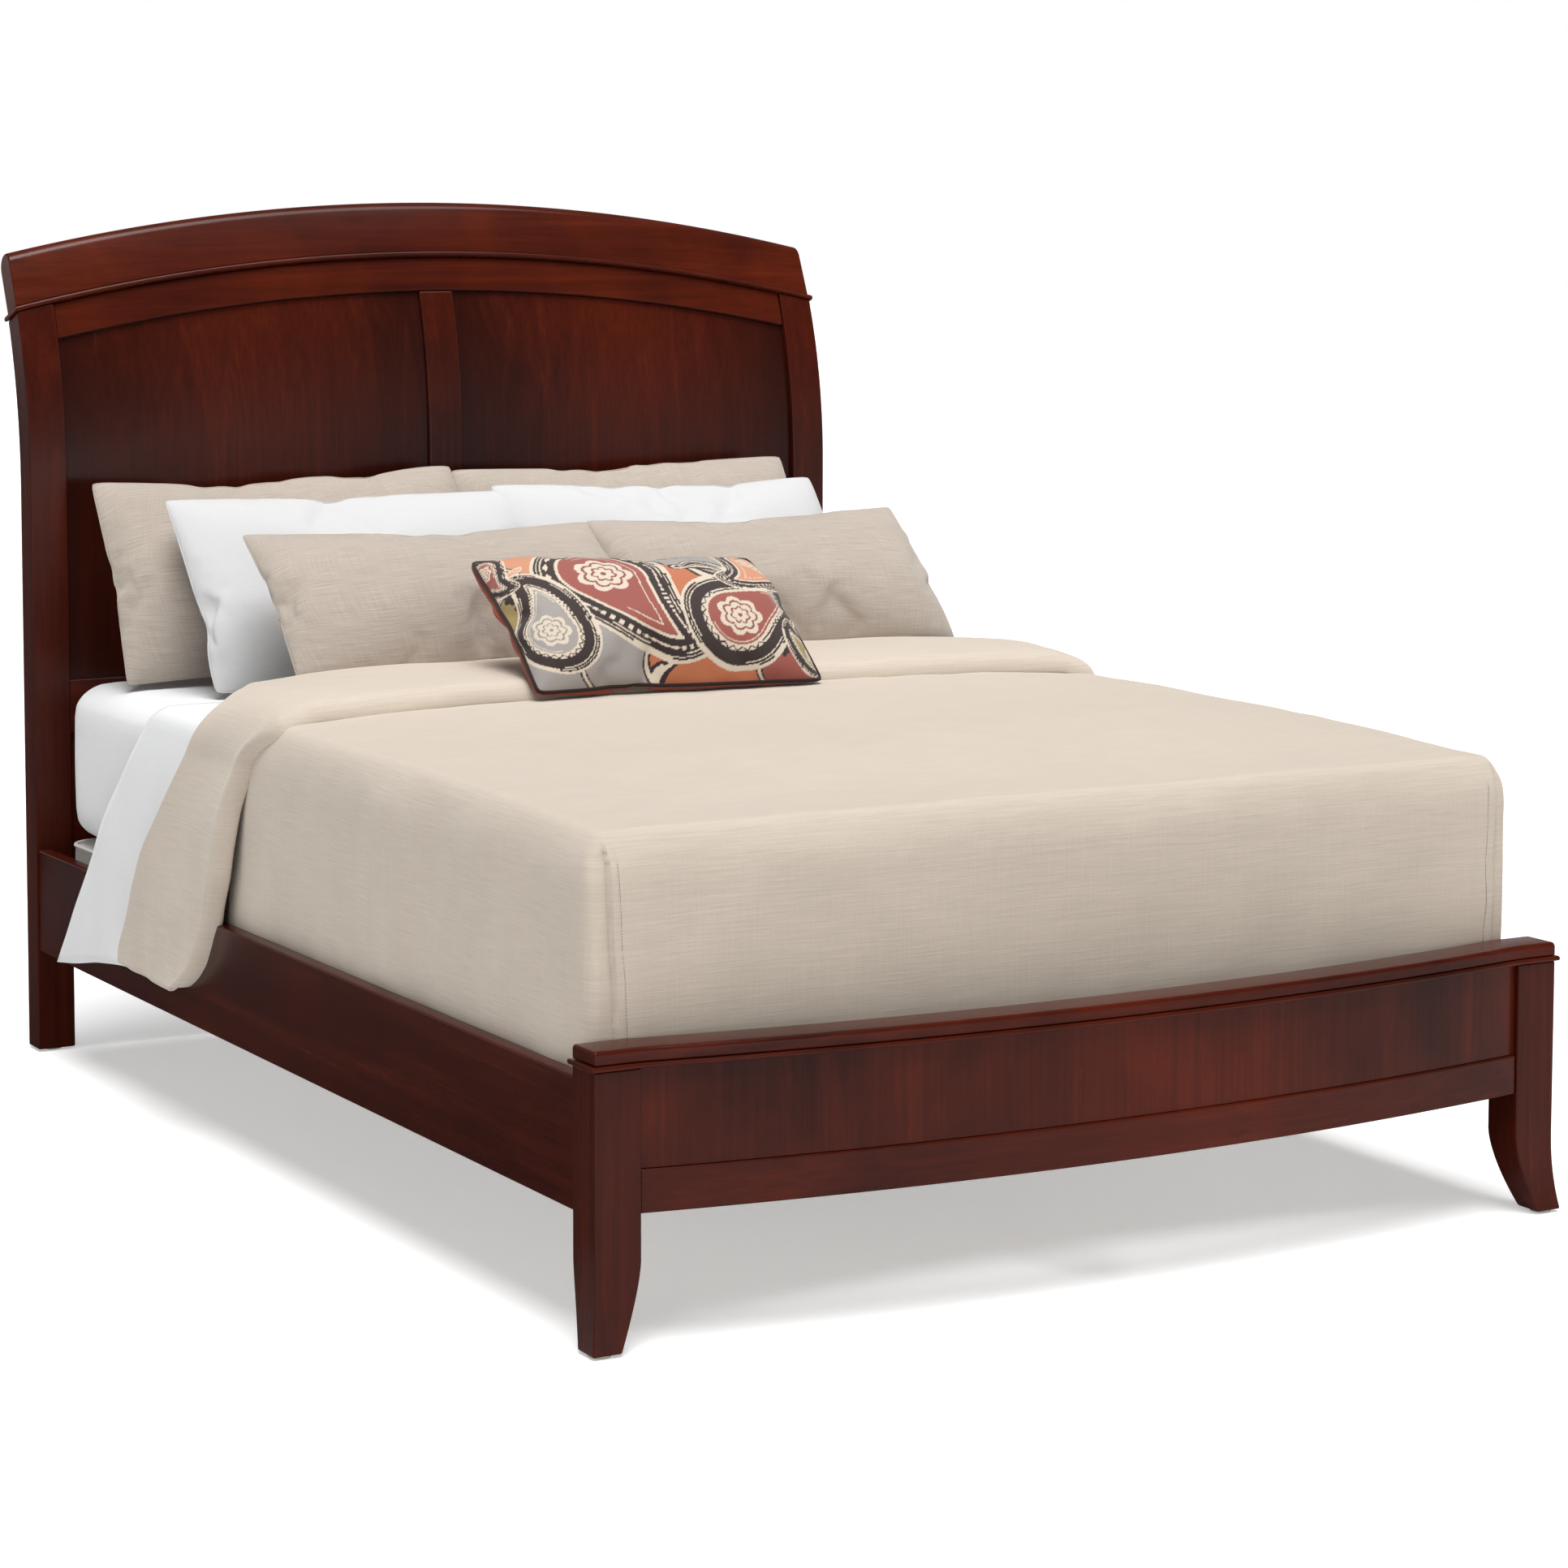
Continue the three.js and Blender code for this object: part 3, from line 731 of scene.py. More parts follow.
class SLEIGH_OT_headboard(bpy.types.Operator):
    """Builds the headboard: posts, cap, bead, rails, stile and panels."""

    bl_idname = "sleigh.headboard"
    bl_label = "Headboard"

    def execute(self, context):
        s = sizes()
        upright = stained_wood("stained_wood_upright", "z", 0.35)
        across = stained_wood("stained_wood_across", "x", 0.75)
        # The panels' wood carries painted shade towards their sides, where they lie recessed beside
        # stile and posts.
        shaded_panel_wood = stained_wood("stained_wood_panel", "z", 0.45, (0.38, 0.24, 0.43))
        stile_wood = stained_wood("stained_wood_stile", "z", 1.0)
        inside = HALF_WIDTH - s.post_width
        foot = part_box("headboard_post_left")[0].z
        for side, sign in SIDES:
            ends = sorted((sign * inside, sign * HALF_WIDTH))
            rings = headboard_slab(
                spread(*ends, 1), 0, s.post_depth, foot, lambda x: bead_bottom_at(x) - ARCH_GAP, 40
            )
            wooden(f"headboard_post_{side}", rings, upright, 0.003)

        front, back = CAP_DEPTH
        roll = (back - front) / 2
        section = [(front, ARCH_GAP), (back, ARCH_GAP), (back, s.cap_height - roll)]
        section += arc((front + roll, s.cap_height - roll), roll, 0, 180, 14)[1:]
        wooden("headboard_cap", arched(section, cap_bottom_at, HALF_WIDTH), across, 0.003)

        radius = s.bead_height / 2
        section = bead_section(s.post_depth, radius, radius)
        rings = arched(section, bead_bottom_at, HALF_WIDTH + s.bead_lip)
        wooden("headboard_bead", rings, across, 0.0015)

        half = inside - GAP
        rings = []
        for x in spread(-half, half, ARCH_STEPS):
            levels = spread(panel_top_at(x) + ARCH_GAP, bead_bottom_at(x) - ARCH_GAP, 4)
            face = [on_headboard(x, HEAD_RAIL[0], level) for level in levels]
            rear = [on_headboard(x, HEAD_RAIL[1], level) for level in reversed(levels)]
            rings.append(face + rear)
        wooden("headboard_top_rail", rings, across, 0.0035)

        half = s.stile_width / 2
        bottom = LOWER_RAIL[1] + GAP
        rings = headboard_slab(spread(-half, half, 2), *HEAD_RAIL, bottom, panel_top_at)
        wooden("headboard_centre_stile", rings, stile_wood, 0.004)
        for side, sign in SIDES:
            ends = sorted((sign * (half + GAP), sign * (inside - GAP)))
            rings = headboard_slab(spread(*ends, 24), *HEAD_PANEL, bottom, panel_top_at)
            wooden(f"headboard_panel_{side}", rings, shaded_panel_wood, 0.001)

        half = inside - GAP
        for node, (near, far), (low, high) in (
            ("headboard_lower_rail", HEAD_RAIL, LOWER_RAIL),
            ("headboard_lower_panel", HEAD_PANEL, (BOTTOM_RAIL[1] + GAP, LOWER_RAIL[0] - GAP)),
            ("headboard_bottom_rail", HEAD_RAIL, BOTTOM_RAIL),
        ):
            corners = ((near, low), (far, low), (far, high), (near, high))
            rings = [[(x, HEAD_FACE + t, z) for t, z in corners] for x in (-half, half)]
            wooden(node, rings, across)
        return {"FINISHED"}


class SLEIGH_OT_footboard(bpy.types.Operator):
    """Builds the bowed footboard with its sabre legs, bead and cap."""

    bl_idname = "sleigh.footboard"
    bl_label = "Footboard"

    def execute(self, context):
        s = sizes()
        upright = stained_wood("stained_wood_upright", "z", 0.35)
        across = stained_wood("stained_wood_across", "x", 0.75)
        inside = HALF_WIDTH - s.leg_width
        low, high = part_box("footboard_leg_right")
        straight_from = 0.122
        toe = {"outer": 0.010, "front": 0.013, "inner": 0.037, "rear": 0.033}
        for side, sign in SIDES:
            rings = []
            for z in [*spread(low.z, straight_from, 20), high.z]:
                sweep = max(0.0, (straight_from - z) / straight_from)
                taper, kick = sweep**1.55, sweep**2.2
                outer = HALF_WIDTH + toe["outer"] * kick
                inner = inside + toe["inner"] * taper
                front = FOOT_FACE - toe["front"] * kick
                rear = FOOT_FACE + s.leg_depth - toe["rear"] * taper
                corners = ((inner, front), (outer, front), (outer, rear), (inner, rear))
                rings.append([(sign * x, y, z) for x, y in corners])
            wooden(f"footboard_leg_{side}", rings, upright, 0.003)

        half = inside - GAP
        low_panel = stained_wood("stained_wood_panel_low", "z", 0.9)
        for node, (front, back), material, ease in (
            ("footboard_bottom_rail", FOOT_RAIL, across, 0.003),
            ("footboard_panel", FOOT_PANEL, low_panel, 0.001),
        ):
            low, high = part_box(node)
            section = ((front, low.z), (back, low.z), (back, high.z), (front, high.z))
            wooden(node, bowed(section, half, 48), material, ease)

        low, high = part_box("footboard_bead")
        section = bead_section(s.leg_depth, (high.z + low.z) / 2, (high.z - low.z) / 2)
        wooden("footboard_bead", bowed(section, HALF_WIDTH + s.bead_lip, 64), across, 0.0012)

        low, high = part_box("footboard_cap")
        bottom, top, curve = low.z, high.z, 0.007
        section = [(0, bottom), (s.leg_depth, bottom)]
        section += arc((s.leg_depth - curve, top - curve), curve, 0, 90, 6)
        section += arc((curve, top - curve), curve, 90, 180, 6)
        wooden("footboard_cap", bowed(section, HALF_WIDTH, 64), across, 0.003)
        return {"FINISHED"}


class SLEIGH_OT_side_rails(bpy.types.Operator):
    """Builds the two side rails with eased edges."""

    bl_idname = "sleigh.side_rails"
    bl_label = "Side rails"

    def execute(self, context):
        lengthwise = stained_wood("stained_wood_lengthwise", "y", 0.25)
        for side, _ in SIDES:
            eased_copy(f"side_rail_{side}", 0.003, lengthwise)
        return {"FINISHED"}


class SLEIGH_OT_support(bpy.types.Operator):
    """Builds the ledgers, slats, centre beam and its legs, with their screws."""

    bl_idname = "sleigh.support"
    bl_label = "Slats and beam"

    def execute(self, context):
        wood = plain_wood("softwood")
        nodes = [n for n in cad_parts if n.startswith(("slat_", "centre_"))]
        for node in sorted(nodes):
            eased_copy(node, 0.002, wood)
        points = []
        slats = sorted(n for n in nodes if n.startswith("slat_") and "ledger" not in n)
        for node in slats:
            low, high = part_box(node)
            middle = (low.y + high.y) / 2
            for x in (low.x + 0.014, 0.0, high.x - 0.014):
                for y in (middle - 0.018, middle + 0.018):
                    points.append(((x, y, high.z), (0, 0, 1)))
        add_screws("slat_screws", points, 0.0038)
        return {"FINISHED"}


def add_screws(name, points, radius):
    """One mesh of screw heads, each at a point and standing along its direction."""
    mesh = mesh_from(name, [p for p, _ in points], [])
    stands = mesh.attributes.new("stands", "FLOAT_VECTOR", "POINT")
    stands.data.foreach_set("vector", [v for _, d in points for v in d])
    material = zinc_steel()
    heads = grown("Screws", mesh, radius=radius, material=material)
    return keep(name, heads, material)


def zinc_steel():
    return metal("zinc_steel", colours().steel, 0.34)


class SLEIGH_OT_hardware(bpy.types.Operator):
    """Builds the corner plates, beam hangers, levelling feet and floor glides."""

    bl_idname = "sleigh.hardware"
    bl_label = "Steel and nylon fittings"

    def execute(self, context):
        steel = zinc_steel()
        ease, wall = 0.0008, 0.003
        points = []
        for end, facing in (("foot", 1), ("head", -1)):
            for side, sign in SIDES:
                node = f"corner_plate_{end}_{side}"
                eased_copy(node, ease, steel)
                low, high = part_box(node)
                outer, face = (low.x, high.x - wall) if sign > 0 else (high.x, low.x + wall)
                post = low.y + wall if facing > 0 else high.y - wall
                along = (low.y + high.y) / 2 + facing * 0.012
                for z in spread(low.z + 0.015, high.z - 0.015, 2):
                    points.append(((face, along, z), (-sign, 0, 0)))
                    points.append((((outer + face) / 2, post, z), (0, facing, 0)))
            eased_copy(f"beam_hanger_{end}", ease, steel)
        add_screws("plate_screws", points, 0.0052)
        for i in (1, 2):
            eased_copy(f"levelling_foot_{i}", ease, steel, f"levelling_foot_{i}")
        nylon = moulded("nylon", colours().nylon)
        for end in ("foot", "head"):
            for side, _ in SIDES:
                eased_copy(f"floor_glide_{end}_{side}", 0.0008, nylon)
        return {"FINISHED"}


# ---------- bedding ----------


def fold_noise(x, y, z, scale, seed):
    return noise.noise(Vector((x * scale + seed * 7.3, y * scale - seed * 3.1, z * scale + seed)))


def stations(low, high, pitch, near, fine):
    """Stations from low to high that lie closer together near both ends."""
    inner_low, inner_high = low + near, high - near
    edge = max(2, round(near / fine))
    middle = max(2, round((inner_high - inner_low) / pitch))
    return (
        spread(low, inner_low, edge)[:-1]
        + spread(inner_low, inner_high, middle)
        + spread(inner_high, high, edge)[1:]
    )


def box_shell(xs, ys, zs, open_sides=()):
    """Points and faces of the surface of a divided box. Points are shared along its edges."""
    index, points, faces = {}, [], []

    def at(i, j, k):
        if (i, j, k) not in index:
            index[(i, j, k)] = len(points)
            points.append((xs[i], ys[j], zs[k]))
        return index[(i, j, k)]

    ends = (len(xs) - 1, len(ys) - 1, len(zs) - 1)
    for axis in range(3):
        for high in (0, 1):
            if (axis, high) in open_sides:
                continue
            a, b = [k for k in range(3) if k != axis]
            for u in range(ends[a]):
                for v in range(ends[b]):
                    face = []
                    for du, dv in ((0, 0), (1, 0), (1, 1), (0, 1)):
                        cell = [0, 0, 0]
                        cell[axis] = ends[axis] * high
                        cell[a], cell[b] = u + du, v + dv
                        face.append(at(*cell))
                    faces.append(face)
    return points, faces


def rounded(point, low, high, radius):
    """Moves a point of a box's surface onto the same box with round edges."""
    inner = [min(max(p, a + r), b - r) for p, a, b, r in zip(point, low, high, radius)]
    away = [(p - q) / r for p, q, r in zip(point, inner, radius)]
    size = math.sqrt(sum(v * v for v in away)) or 1.0
    return [q + v / size * r for q, v, r in zip(inner, away, radius)]


def put_cloth(mesh, flat):
    """Stores each point's place on the flat cloth, in metres."""
    attribute = mesh.attributes.new("cloth", "FLOAT_VECTOR", "POINT")
    attribute.data.foreach_set("vector", np.array(flat, np.float32).ravel())


def smooth_step(low, high, value):
    """Rises smoothly from 0 at low to 1 at high. Low may be the larger of the two."""
    t = min(1.0, max(0.0, (value - low) / (high - low)))
    return t * t * (3 - 2 * t)


def upholstered(name, node, material, radius, pinch):
    """A padded block in a CAD node's place, with its sides drawn in by its edges."""
    low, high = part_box(node)
    xs = stations(low.x, high.x, 0.03, 0.05, 0.006)
    ys = stations(low.y, high.y, 0.03, 0.05, 0.006)
    zs = stations(low.z, high.z, 0.02, 0.04, 0.006)
    points, faces = box_shell(xs, ys, zs)
    middle, half = (low + high) / 2, (high - low) / 2
    made, flat = [], []
    for p in points:
        q = rounded(p, low, high, radius)
        u, v, w = [(a - m) / h for a, m, h in zip(q, middle, half)]
        wall = 1 - w * w
        q[0] += math.copysign(pinch, u) * wall * smooth_step(0.85, 1, abs(u)) * (1 - v**8)
        q[1] += math.copysign(pinch, v) * wall * smooth_step(0.85, 1, abs(v)) * (1 - u**8)
        soft = 0.002 * fold_noise(*q, 9, 1)
        made.append((q[0] + soft, q[1] + soft, q[2] + soft))
        flat.append((p[0] + p[2], p[1] + p[2], 0))
    mesh = mesh_from(name, made, faces)
    face_outwards(mesh)
    put_cloth(mesh, flat)
    return keep(name, mesh, material, [node])


def piped(name, loops, radius, material):
    """A cord laid along loops, with flat coordinates from its own places."""
    mesh = grown("Piping", line_mesh(loops), radius=radius, material=material)
    give_cloth(mesh)
    return keep(name, mesh, material)


def give_cloth(mesh):
    """Flat coordinates for a small piece of cloth, from its own places."""
    if "cloth" not in mesh.attributes:
        put_cloth(mesh, [(v.co.x + v.co.z, v.co.y + v.co.z, 0) for v in mesh.vertices])


def corner_loop(low, high, corner, z, steps=6):
    """A level loop round a box with rounded corners."""
    loop = []
    for cx, cy, start in (
        (high.x - corner, high.y - corner, 0),
        (low.x + corner, high.y - corner, 90),
        (low.x + corner, low.y + corner, 180),
        (high.x - corner, low.y + corner, 270),
    ):
        loop += [(x, y, z) for x, y in arc((cx, cy), corner, start, start + 90, steps)]
    return loop + [loop[0]]


class SLEIGH_OT_foundation(bpy.types.Operator):
    """Builds the foundation under the mattress, with a corded edge."""

    bl_idname = "sleigh.foundation"
    bl_label = "Foundation"

    def execute(self, context):
        ticking = woven("ticking_cloth", colours().ticking)
        corner, inset = 0.045, 0.006
        radius = (corner, corner, 0.012)
        low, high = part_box("foundation")
        piece = upholstered(
            "foundation_upholstered", "foundation", ticking, radius, 0.004
        )
        loops = [corner_loop(low, high, corner, z) for z in (high.z - inset, low.z + inset)]
        piped("foundation_piping", loops, 0.0035, ticking)
        return {"FINISHED"}


class SLEIGH_OT_mattress(bpy.types.Operator):
    """Builds the mattress in its fitted sheet."""

    bl_idname = "sleigh.mattress"
    bl_label = "Mattress"

    def execute(self, context):
        sheeting = cotton("cotton_sheeting", colours().cotton)
        radius = (0.07, 0.07, 0.055)
        piece = upholstered("mattress_upholstered", "mattress", sheeting, radius, 0.006)
        return {"FINISHED"}


# The tucked part of the duvet, from the middle of the bed and from the footboard's face.
DUVET_TOP = 0.692
DUVET_HALF = 0.7755
DUVET_FOOT = 0.0725
DUVET_BOTTOM = 0.345
DUVET_END = 1.33
CREASE_X = 0.748


class SLEIGH_OT_duvet(bpy.types.Operator):
    """Builds the duvet where it lies flat and is tucked in, with its folded foot corners."""

    bl_idname = "sleigh.duvet"
    bl_label = "Duvet"

    def execute(self, context):
        b = bedding()
        low = (-DUVET_HALF, FOOT_FACE + DUVET_FOOT, DUVET_BOTTOM)
        high = (DUVET_HALF, FOOT_FACE + DUVET_END, DUVET_TOP)
        xs = stations(low[0], high[0], 0.016, 0.085, 0.0017)
        ys = stations(low[1], high[1], 0.016, 0.10, 0.006)
        zs = stations(low[2], high[2], 0.014, 0.09, 0.006)
        head_end, hem_end = (1, 1), (2, 0)
        points, faces = box_shell(xs, ys, zs, (head_end, hem_end))
        # The head end and the hem stay open, so the rounding there has no place to act.
        far = (high[0], high[1] + 1.0, high[2])
        under = (low[0], low[1], low[2] - 1.0)
        radius = (b.duvet_corner, b.duvet_corner, b.duvet_edge)
        made, flat = [], []
        for p in points:
            made.append(self.settle(rounded(p, under, far, radius), low, high))
            drop = high[2] - p[2]
            across = abs(p[0]) + (drop if abs(p[0]) > DUVET_HALF - 1e-6 else 0)
            down = p[1] - (drop if p[1] < low[1] + 1e-6 else 0)
            flat.append((math.copysign(across, p[0]), down, 0))
        mesh = mesh_from("duvet", made, faces)
        face_outwards(mesh)
        put_cloth(mesh, flat)
        body = thickened("duvet", mesh, b.duvet_loft)
        cloth = draped_linen("linen_draped")
        keep("duvet_body", body, cloth, ["duvet"])
        lines = []
        for sign in (-1, 1):
            line = []
            for drop in spread(0.045, high[2] - low[2] - 0.02, 60):
                x = sign * (self.crease_at(drop, sign * CREASE_X) - b.hem)
                p = (x, low[1], high[2] - drop)
                x, y, z = self.settle(rounded(p, under, far, radius), low, high)
                line.append((x, y - 0.0002, z))
            lines.append(line)
        thread = woven("duvet_thread", scaled(colours().linen, 0.45))
        values = {"step": 0.0042, "radius": 0.0005, "material": thread}
        mesh = grown("Stitches", line_mesh(lines), **values)
        give_cloth(mesh)
        keep("duvet_stitching", mesh, thread)
        return {"FINISHED"}

    def crease_at(self, drop, x):
        """How far from the middle a foot corner's crease lies."""
        return CREASE_X - 0.012 * min(1.0, drop / 0.3) + 0.004 * fold_noise(x, 0, drop, 13, 15)

    def settle(self, point, low, high):
        """A point of the duvet after the cloth has sunk, crowned and creased."""
        x, y, z = point
        u = x / DUVET_HALF
        along = (y - low[1]) / (high[1] - low[1])
        wall = smooth_step(0.0, 0.06, high[2] - z)
        # The top is crowned, and lower towards the foot.
        z += (1 - wall) * bedding().crown * (1 - abs(u) ** 3) * smooth_step(0, 0.45, along)
        z -= 0.012 * (1 - smooth_step(0.0, 0.35, along)) * (1 - wall * 0.6)
        # Long shallow waves from the tucked sides up over the edge.
        side = smooth_step(0.75, 1.0, abs(u))
        wave = fold_noise(0, y, z * 0.35, 6.5, 2) + 0.5 * fold_noise(0, y, z * 0.5, 15, 3)
        x += math.copysign(1, x) * side * wall * 0.006 * wave
        face = 1 - smooth_step(0.0, 0.08, along)
        wave = fold_noise(x, 0, z * 0.35, 5.5, 4) + 0.5 * fold_noise(x, 0, z * 0.5, 14, 5)
        y -= face * wall * 0.006 * wave
        z += (1 - wall) * 0.003 * fold_noise(x, y, 0, 4.5, 6)
        z += (1 - wall) * 0.0012 * fold_noise(x, y, 0, 16, 7)
        # A lap at each foot corner, where the side's cloth is tucked in under the foot's hem.
        if face > 0:
            drop = high[2] - z
            begin = smooth_step(0.022, 0.05, drop)
            off = abs(x) - self.crease_at(drop, x)
            if off > 0:
                y += begin * (0.011 * math.exp(-off / 0.010) - 0.004 * smooth_step(0.012, 0.03, off))
            else:
                hem = bedding().hem
                y -= begin * 0.003 * smooth_step(-0.10, -0.02, off)
                y += begin * 0.0014 * math.exp(-(((off + hem) / 0.0016) ** 2))
        return (x, y, z)


def lookup(table, value):
    """A smooth value from a short table of (key, value) pairs."""
    keys = [k for k, _ in table]
    value = min(max(value, keys[0]), keys[-1])
    for (k0, v0), (k1, v1) in zip(table, table[1:]):
        if value <= k1:
            t = (value - k0) / (k1 - k0)
            return v0 + (v1 - v0) * (t * t * (3 - 2 * t) * 0.35 + t * 0.65)
    return table[-1][1]


def over_bed(distance, half, top, edge, flare, crown):
    """Place across the bed of a cloth, by its distance from the middle along the cloth."""
    side = math.copysign(1, distance)
    run = abs(distance)
    flat = half - edge
    turn = edge * math.pi / 2
    if run <= flat:
        x, z = run, top + crown * (1 - (run / half) ** 4)
    elif run <= flat + turn:
        angle = (run - flat) / edge
        x, z = flat + edge * math.sin(angle), top - edge * (1 - math.cos(angle))
    else:
        down = run - flat - turn
        x, z = half + flare * (1 - math.exp(-down / 0.12)), top - edge - down
    return side * x, z


# The sheet and the fold over the bed: half width, height, edge radius, flare and crown.
SHEET_OVER = (0.775, MATTRESS_TOP + 0.006, 0.035, 0.036, 0)
SHEET_REACH = 1.245
FOLD_OVER = (0.80, DUVET_TOP + 0.032, 0.10, 0.035, 0.014)
FOLD_REACH = 1.25


class SLEIGH_OT_top_sheet(bpy.types.Operator):
    """Builds the top sheet, laid over the mattress with a flap down each side."""

    bl_idname = "sleigh.top_sheet"
    bl_label = "Top sheet"

    def execute(self, context):
        us = spread(-SHEET_REACH, SHEET_REACH, 150)
        vs = spread(0, 1, 26)
        points, flat = [], []
        for u in us:
            for v in vs:
                x, z = over_bed(u, *SHEET_OVER)
                down = max(0.0, abs(u) - 0.76)
                start, end = 1.30 + 0.72 * down, 1.655 + 0.76 * down
                y = start + (end - start) * v
                ripple = fold_noise(u * 0.4, y, 0, 9, 8) * min(1, down * 4)
                x += math.copysign(0.011, x) * ripple
                z += 0.02 * fold_noise(u, y, 0, 3, 9) * smooth_step(0.3, 0.48, down)
                z += 0.045 * (1 - v) * smooth_step(0.2, 0.48, down)
                points.append((x, FOOT_FACE + y, z))
                flat.append((u, y, 0))
        mesh = grid_mesh("top_sheet", points, len(us), len(vs))
        put_cloth(mesh, flat)
        body = thickened("top_sheet", mesh, bedding().sheet_thickness, offset=0)
        sheeting = cotton("cotton_sheeting", colours().cotton)
        piece = keep("top_sheet_draped", body, sheeting, ["top_sheet"])
        return {"FINISHED"}


def grid_mesh(name, points, rows, columns):
    faces = [
        (r * columns + c, (r + 1) * columns + c, (r + 1) * columns + c + 1, r * columns + c + 1)
        for r in range(rows - 1)
        for c in range(columns - 1)
    ]
    return mesh_from(name, points, faces)


# Where the folded part's two edges lie, by the distance along the cloth from its middle.
TURN_FRONT = (
    (0.0, 1.15), (0.66, 1.15), (0.76, 1.14), (0.85, 1.22), (0.93, 1.25), (1.03, 1.27), (1.11, 1.30),
    (1.15, 1.325), (1.19, 1.35), (1.22, 1.385), (1.25, 1.44),
)
TURN_REAR = ((0.0, 1.49), (0.52, 1.49), (0.68, 1.43), (0.76, 1.39), (1.22, 1.685))
TURN_ROLL = 0.034


class SLEIGH_OT_turndown(bpy.types.Operator):
    """Builds the part of the duvet that is folded back, with its two flaps."""

    bl_idname = "sleigh.turndown"
    bl_label = "Folded duvet"

    def execute(self, context):
        us = spread(-FOLD_REACH, FOLD_REACH, 190)
        vs = [0.5 - 0.5 * math.cos(math.pi * t) for t in spread(0, 1, 30)]
        points, flat = [], []
        for u in us:
            run = abs(u)
            front, rear = lookup(TURN_FRONT, run), lookup(TURN_REAR, run)
            down = smooth_step(0.80, 1.2, run)
            inward = smooth_step(0.74, 0.86, run)
            for v in vs:
                y = front + (rear - front) * v
                x, z = over_bed(u, *FOLD_OVER)
                # The front edge rolls under, and the flap hangs in soft folds.
                gap = max(0.0, TURN_ROLL - (y - front))
                roll = TURN_ROLL - math.sqrt(max(0.0, TURN_ROLL**2 - gap**2))
                roll -= 0.009 * math.sin(math.pi * v)
                knot = math.exp(-(((run - 0.79) / 0.05) ** 2) - (v / 0.30) ** 2)
                roll += 0.006 * knot * fold_noise(u * 1.6, y, 0, 26, 14)
                z -= roll * (1 - inward)
                x -= math.copysign(roll, x) * inward
                fold = fold_noise(u * 0.3, y, 0, 7.5, 11) + 0.4 * fold_noise(u * 0.5, y, 0, 17, 12)
                x += math.copysign(0.014, x) * fold * down
                z += 0.004 * fold_noise(u, y, 0, 6, 13) * (1 - inward)
                z += 0.03 * (v - 0.45) ** 2 * smooth_step(1.0, 1.25, run)
                points.append((x, FOOT_FACE + y, z))
                flat.append((u, -y, 0))
        mesh = grid_mesh("turndown", points, len(us), len(vs))
        put_cloth(mesh, flat)
        body = thickened("turndown", mesh, bedding().fold_loft, levels=1)
        cloth = draped_linen("linen_draped")
        piece = keep("duvet_turndown_folded", body, cloth, ["duvet_turndown"])
        return {"FINISHED"}


# ---------- pillows ----------


def inflate(name, width, height, pitch, frames, seed):
    """Sews two flat sheets together round their edge and fills them by cloth simulation."""
    columns, rows = max(6, round(width / pitch)), max(6, round(height / pitch))
    index, points, flat = {}, [], []

    def at(i, j, side):
        edge = i in (0, columns) or j in (0, rows)
        key = (i, j, 0 if edge else side)
        if key not in index:
            u, v = i / columns * 2 - 1, j / rows * 2 - 1
            index[key] = len(points)
            puff = 0.010 * (1 - u * u) * (1 - v * v) + 0.004
            jitter = 0.002 * noise.noise(Vector((u * 5 + seed, v * 5, side * 3)))
            w = 0 if edge else side * (puff + jitter)
            points.append((u * width / 2, w, v * height / 2))
            flat.append((u * width / 2, v * height / 2, 0 if edge else side))
        return index[key]

    faces = []
    for side in (-1, 1):
        for i in range(columns):
            for j in range(rows):
                face = [at(i, j, side), at(i + 1, j, side), at(i + 1, j + 1, side), at(i, j + 1, side)]
                faces.append(face if side < 0 else face[::-1])
    rim = [(i, 0) for i in range(columns)] + [(columns, j) for j in range(rows)]
    rim += [(i, rows) for i in range(columns, 0, -1)] + [(0, j) for j in range(rows, 0, -1)]
    rim = [index[(i, j, 0)] for i, j in rim]
    mesh = mesh_from(name, points, faces)
    put_cloth(mesh, flat)
    obj = temporary(name, mesh)
    cloth = obj.modifiers.new("Filling", "CLOTH")
    rules = cloth.settings
    rules.quality = 6
    rules.mass = 0.25
    rules.tension_stiffness = rules.compression_stiffness = 22
    rules.shear_stiffness = 8
    rules.bending_stiffness = 0.35
    rules.use_pressure = True
    rules.uniform_pressure_force = 5.5
    rules.effector_weights.gravity = 0
    cloth.collision_settings.use_collision = False
    cloth.point_cache.frame_start = 1
    cloth.point_cache.frame_end = frames
    scene = bpy.context.scene
    for step in range(1, frames + 1):
        scene.frame_set(step)
    mesh = result_of(obj)
    scene.frame_set(1)
    return mesh, rim


STRAIGHTENED = 0.86


def cloth_of(mesh):
    """Each point's place on the flat cloth."""
    flat = np.zeros(len(mesh.vertices) * 3, np.float32)
    mesh.attributes["cloth"].data.foreach_get("vector", flat)
    return flat.reshape(-1, 3)


def shares(flat):
    """Places on the flat cloth, as shares of its half width and of its half height."""
    return [flat[:, k] / np.abs(flat[:, k]).max() for k in (0, 1)]


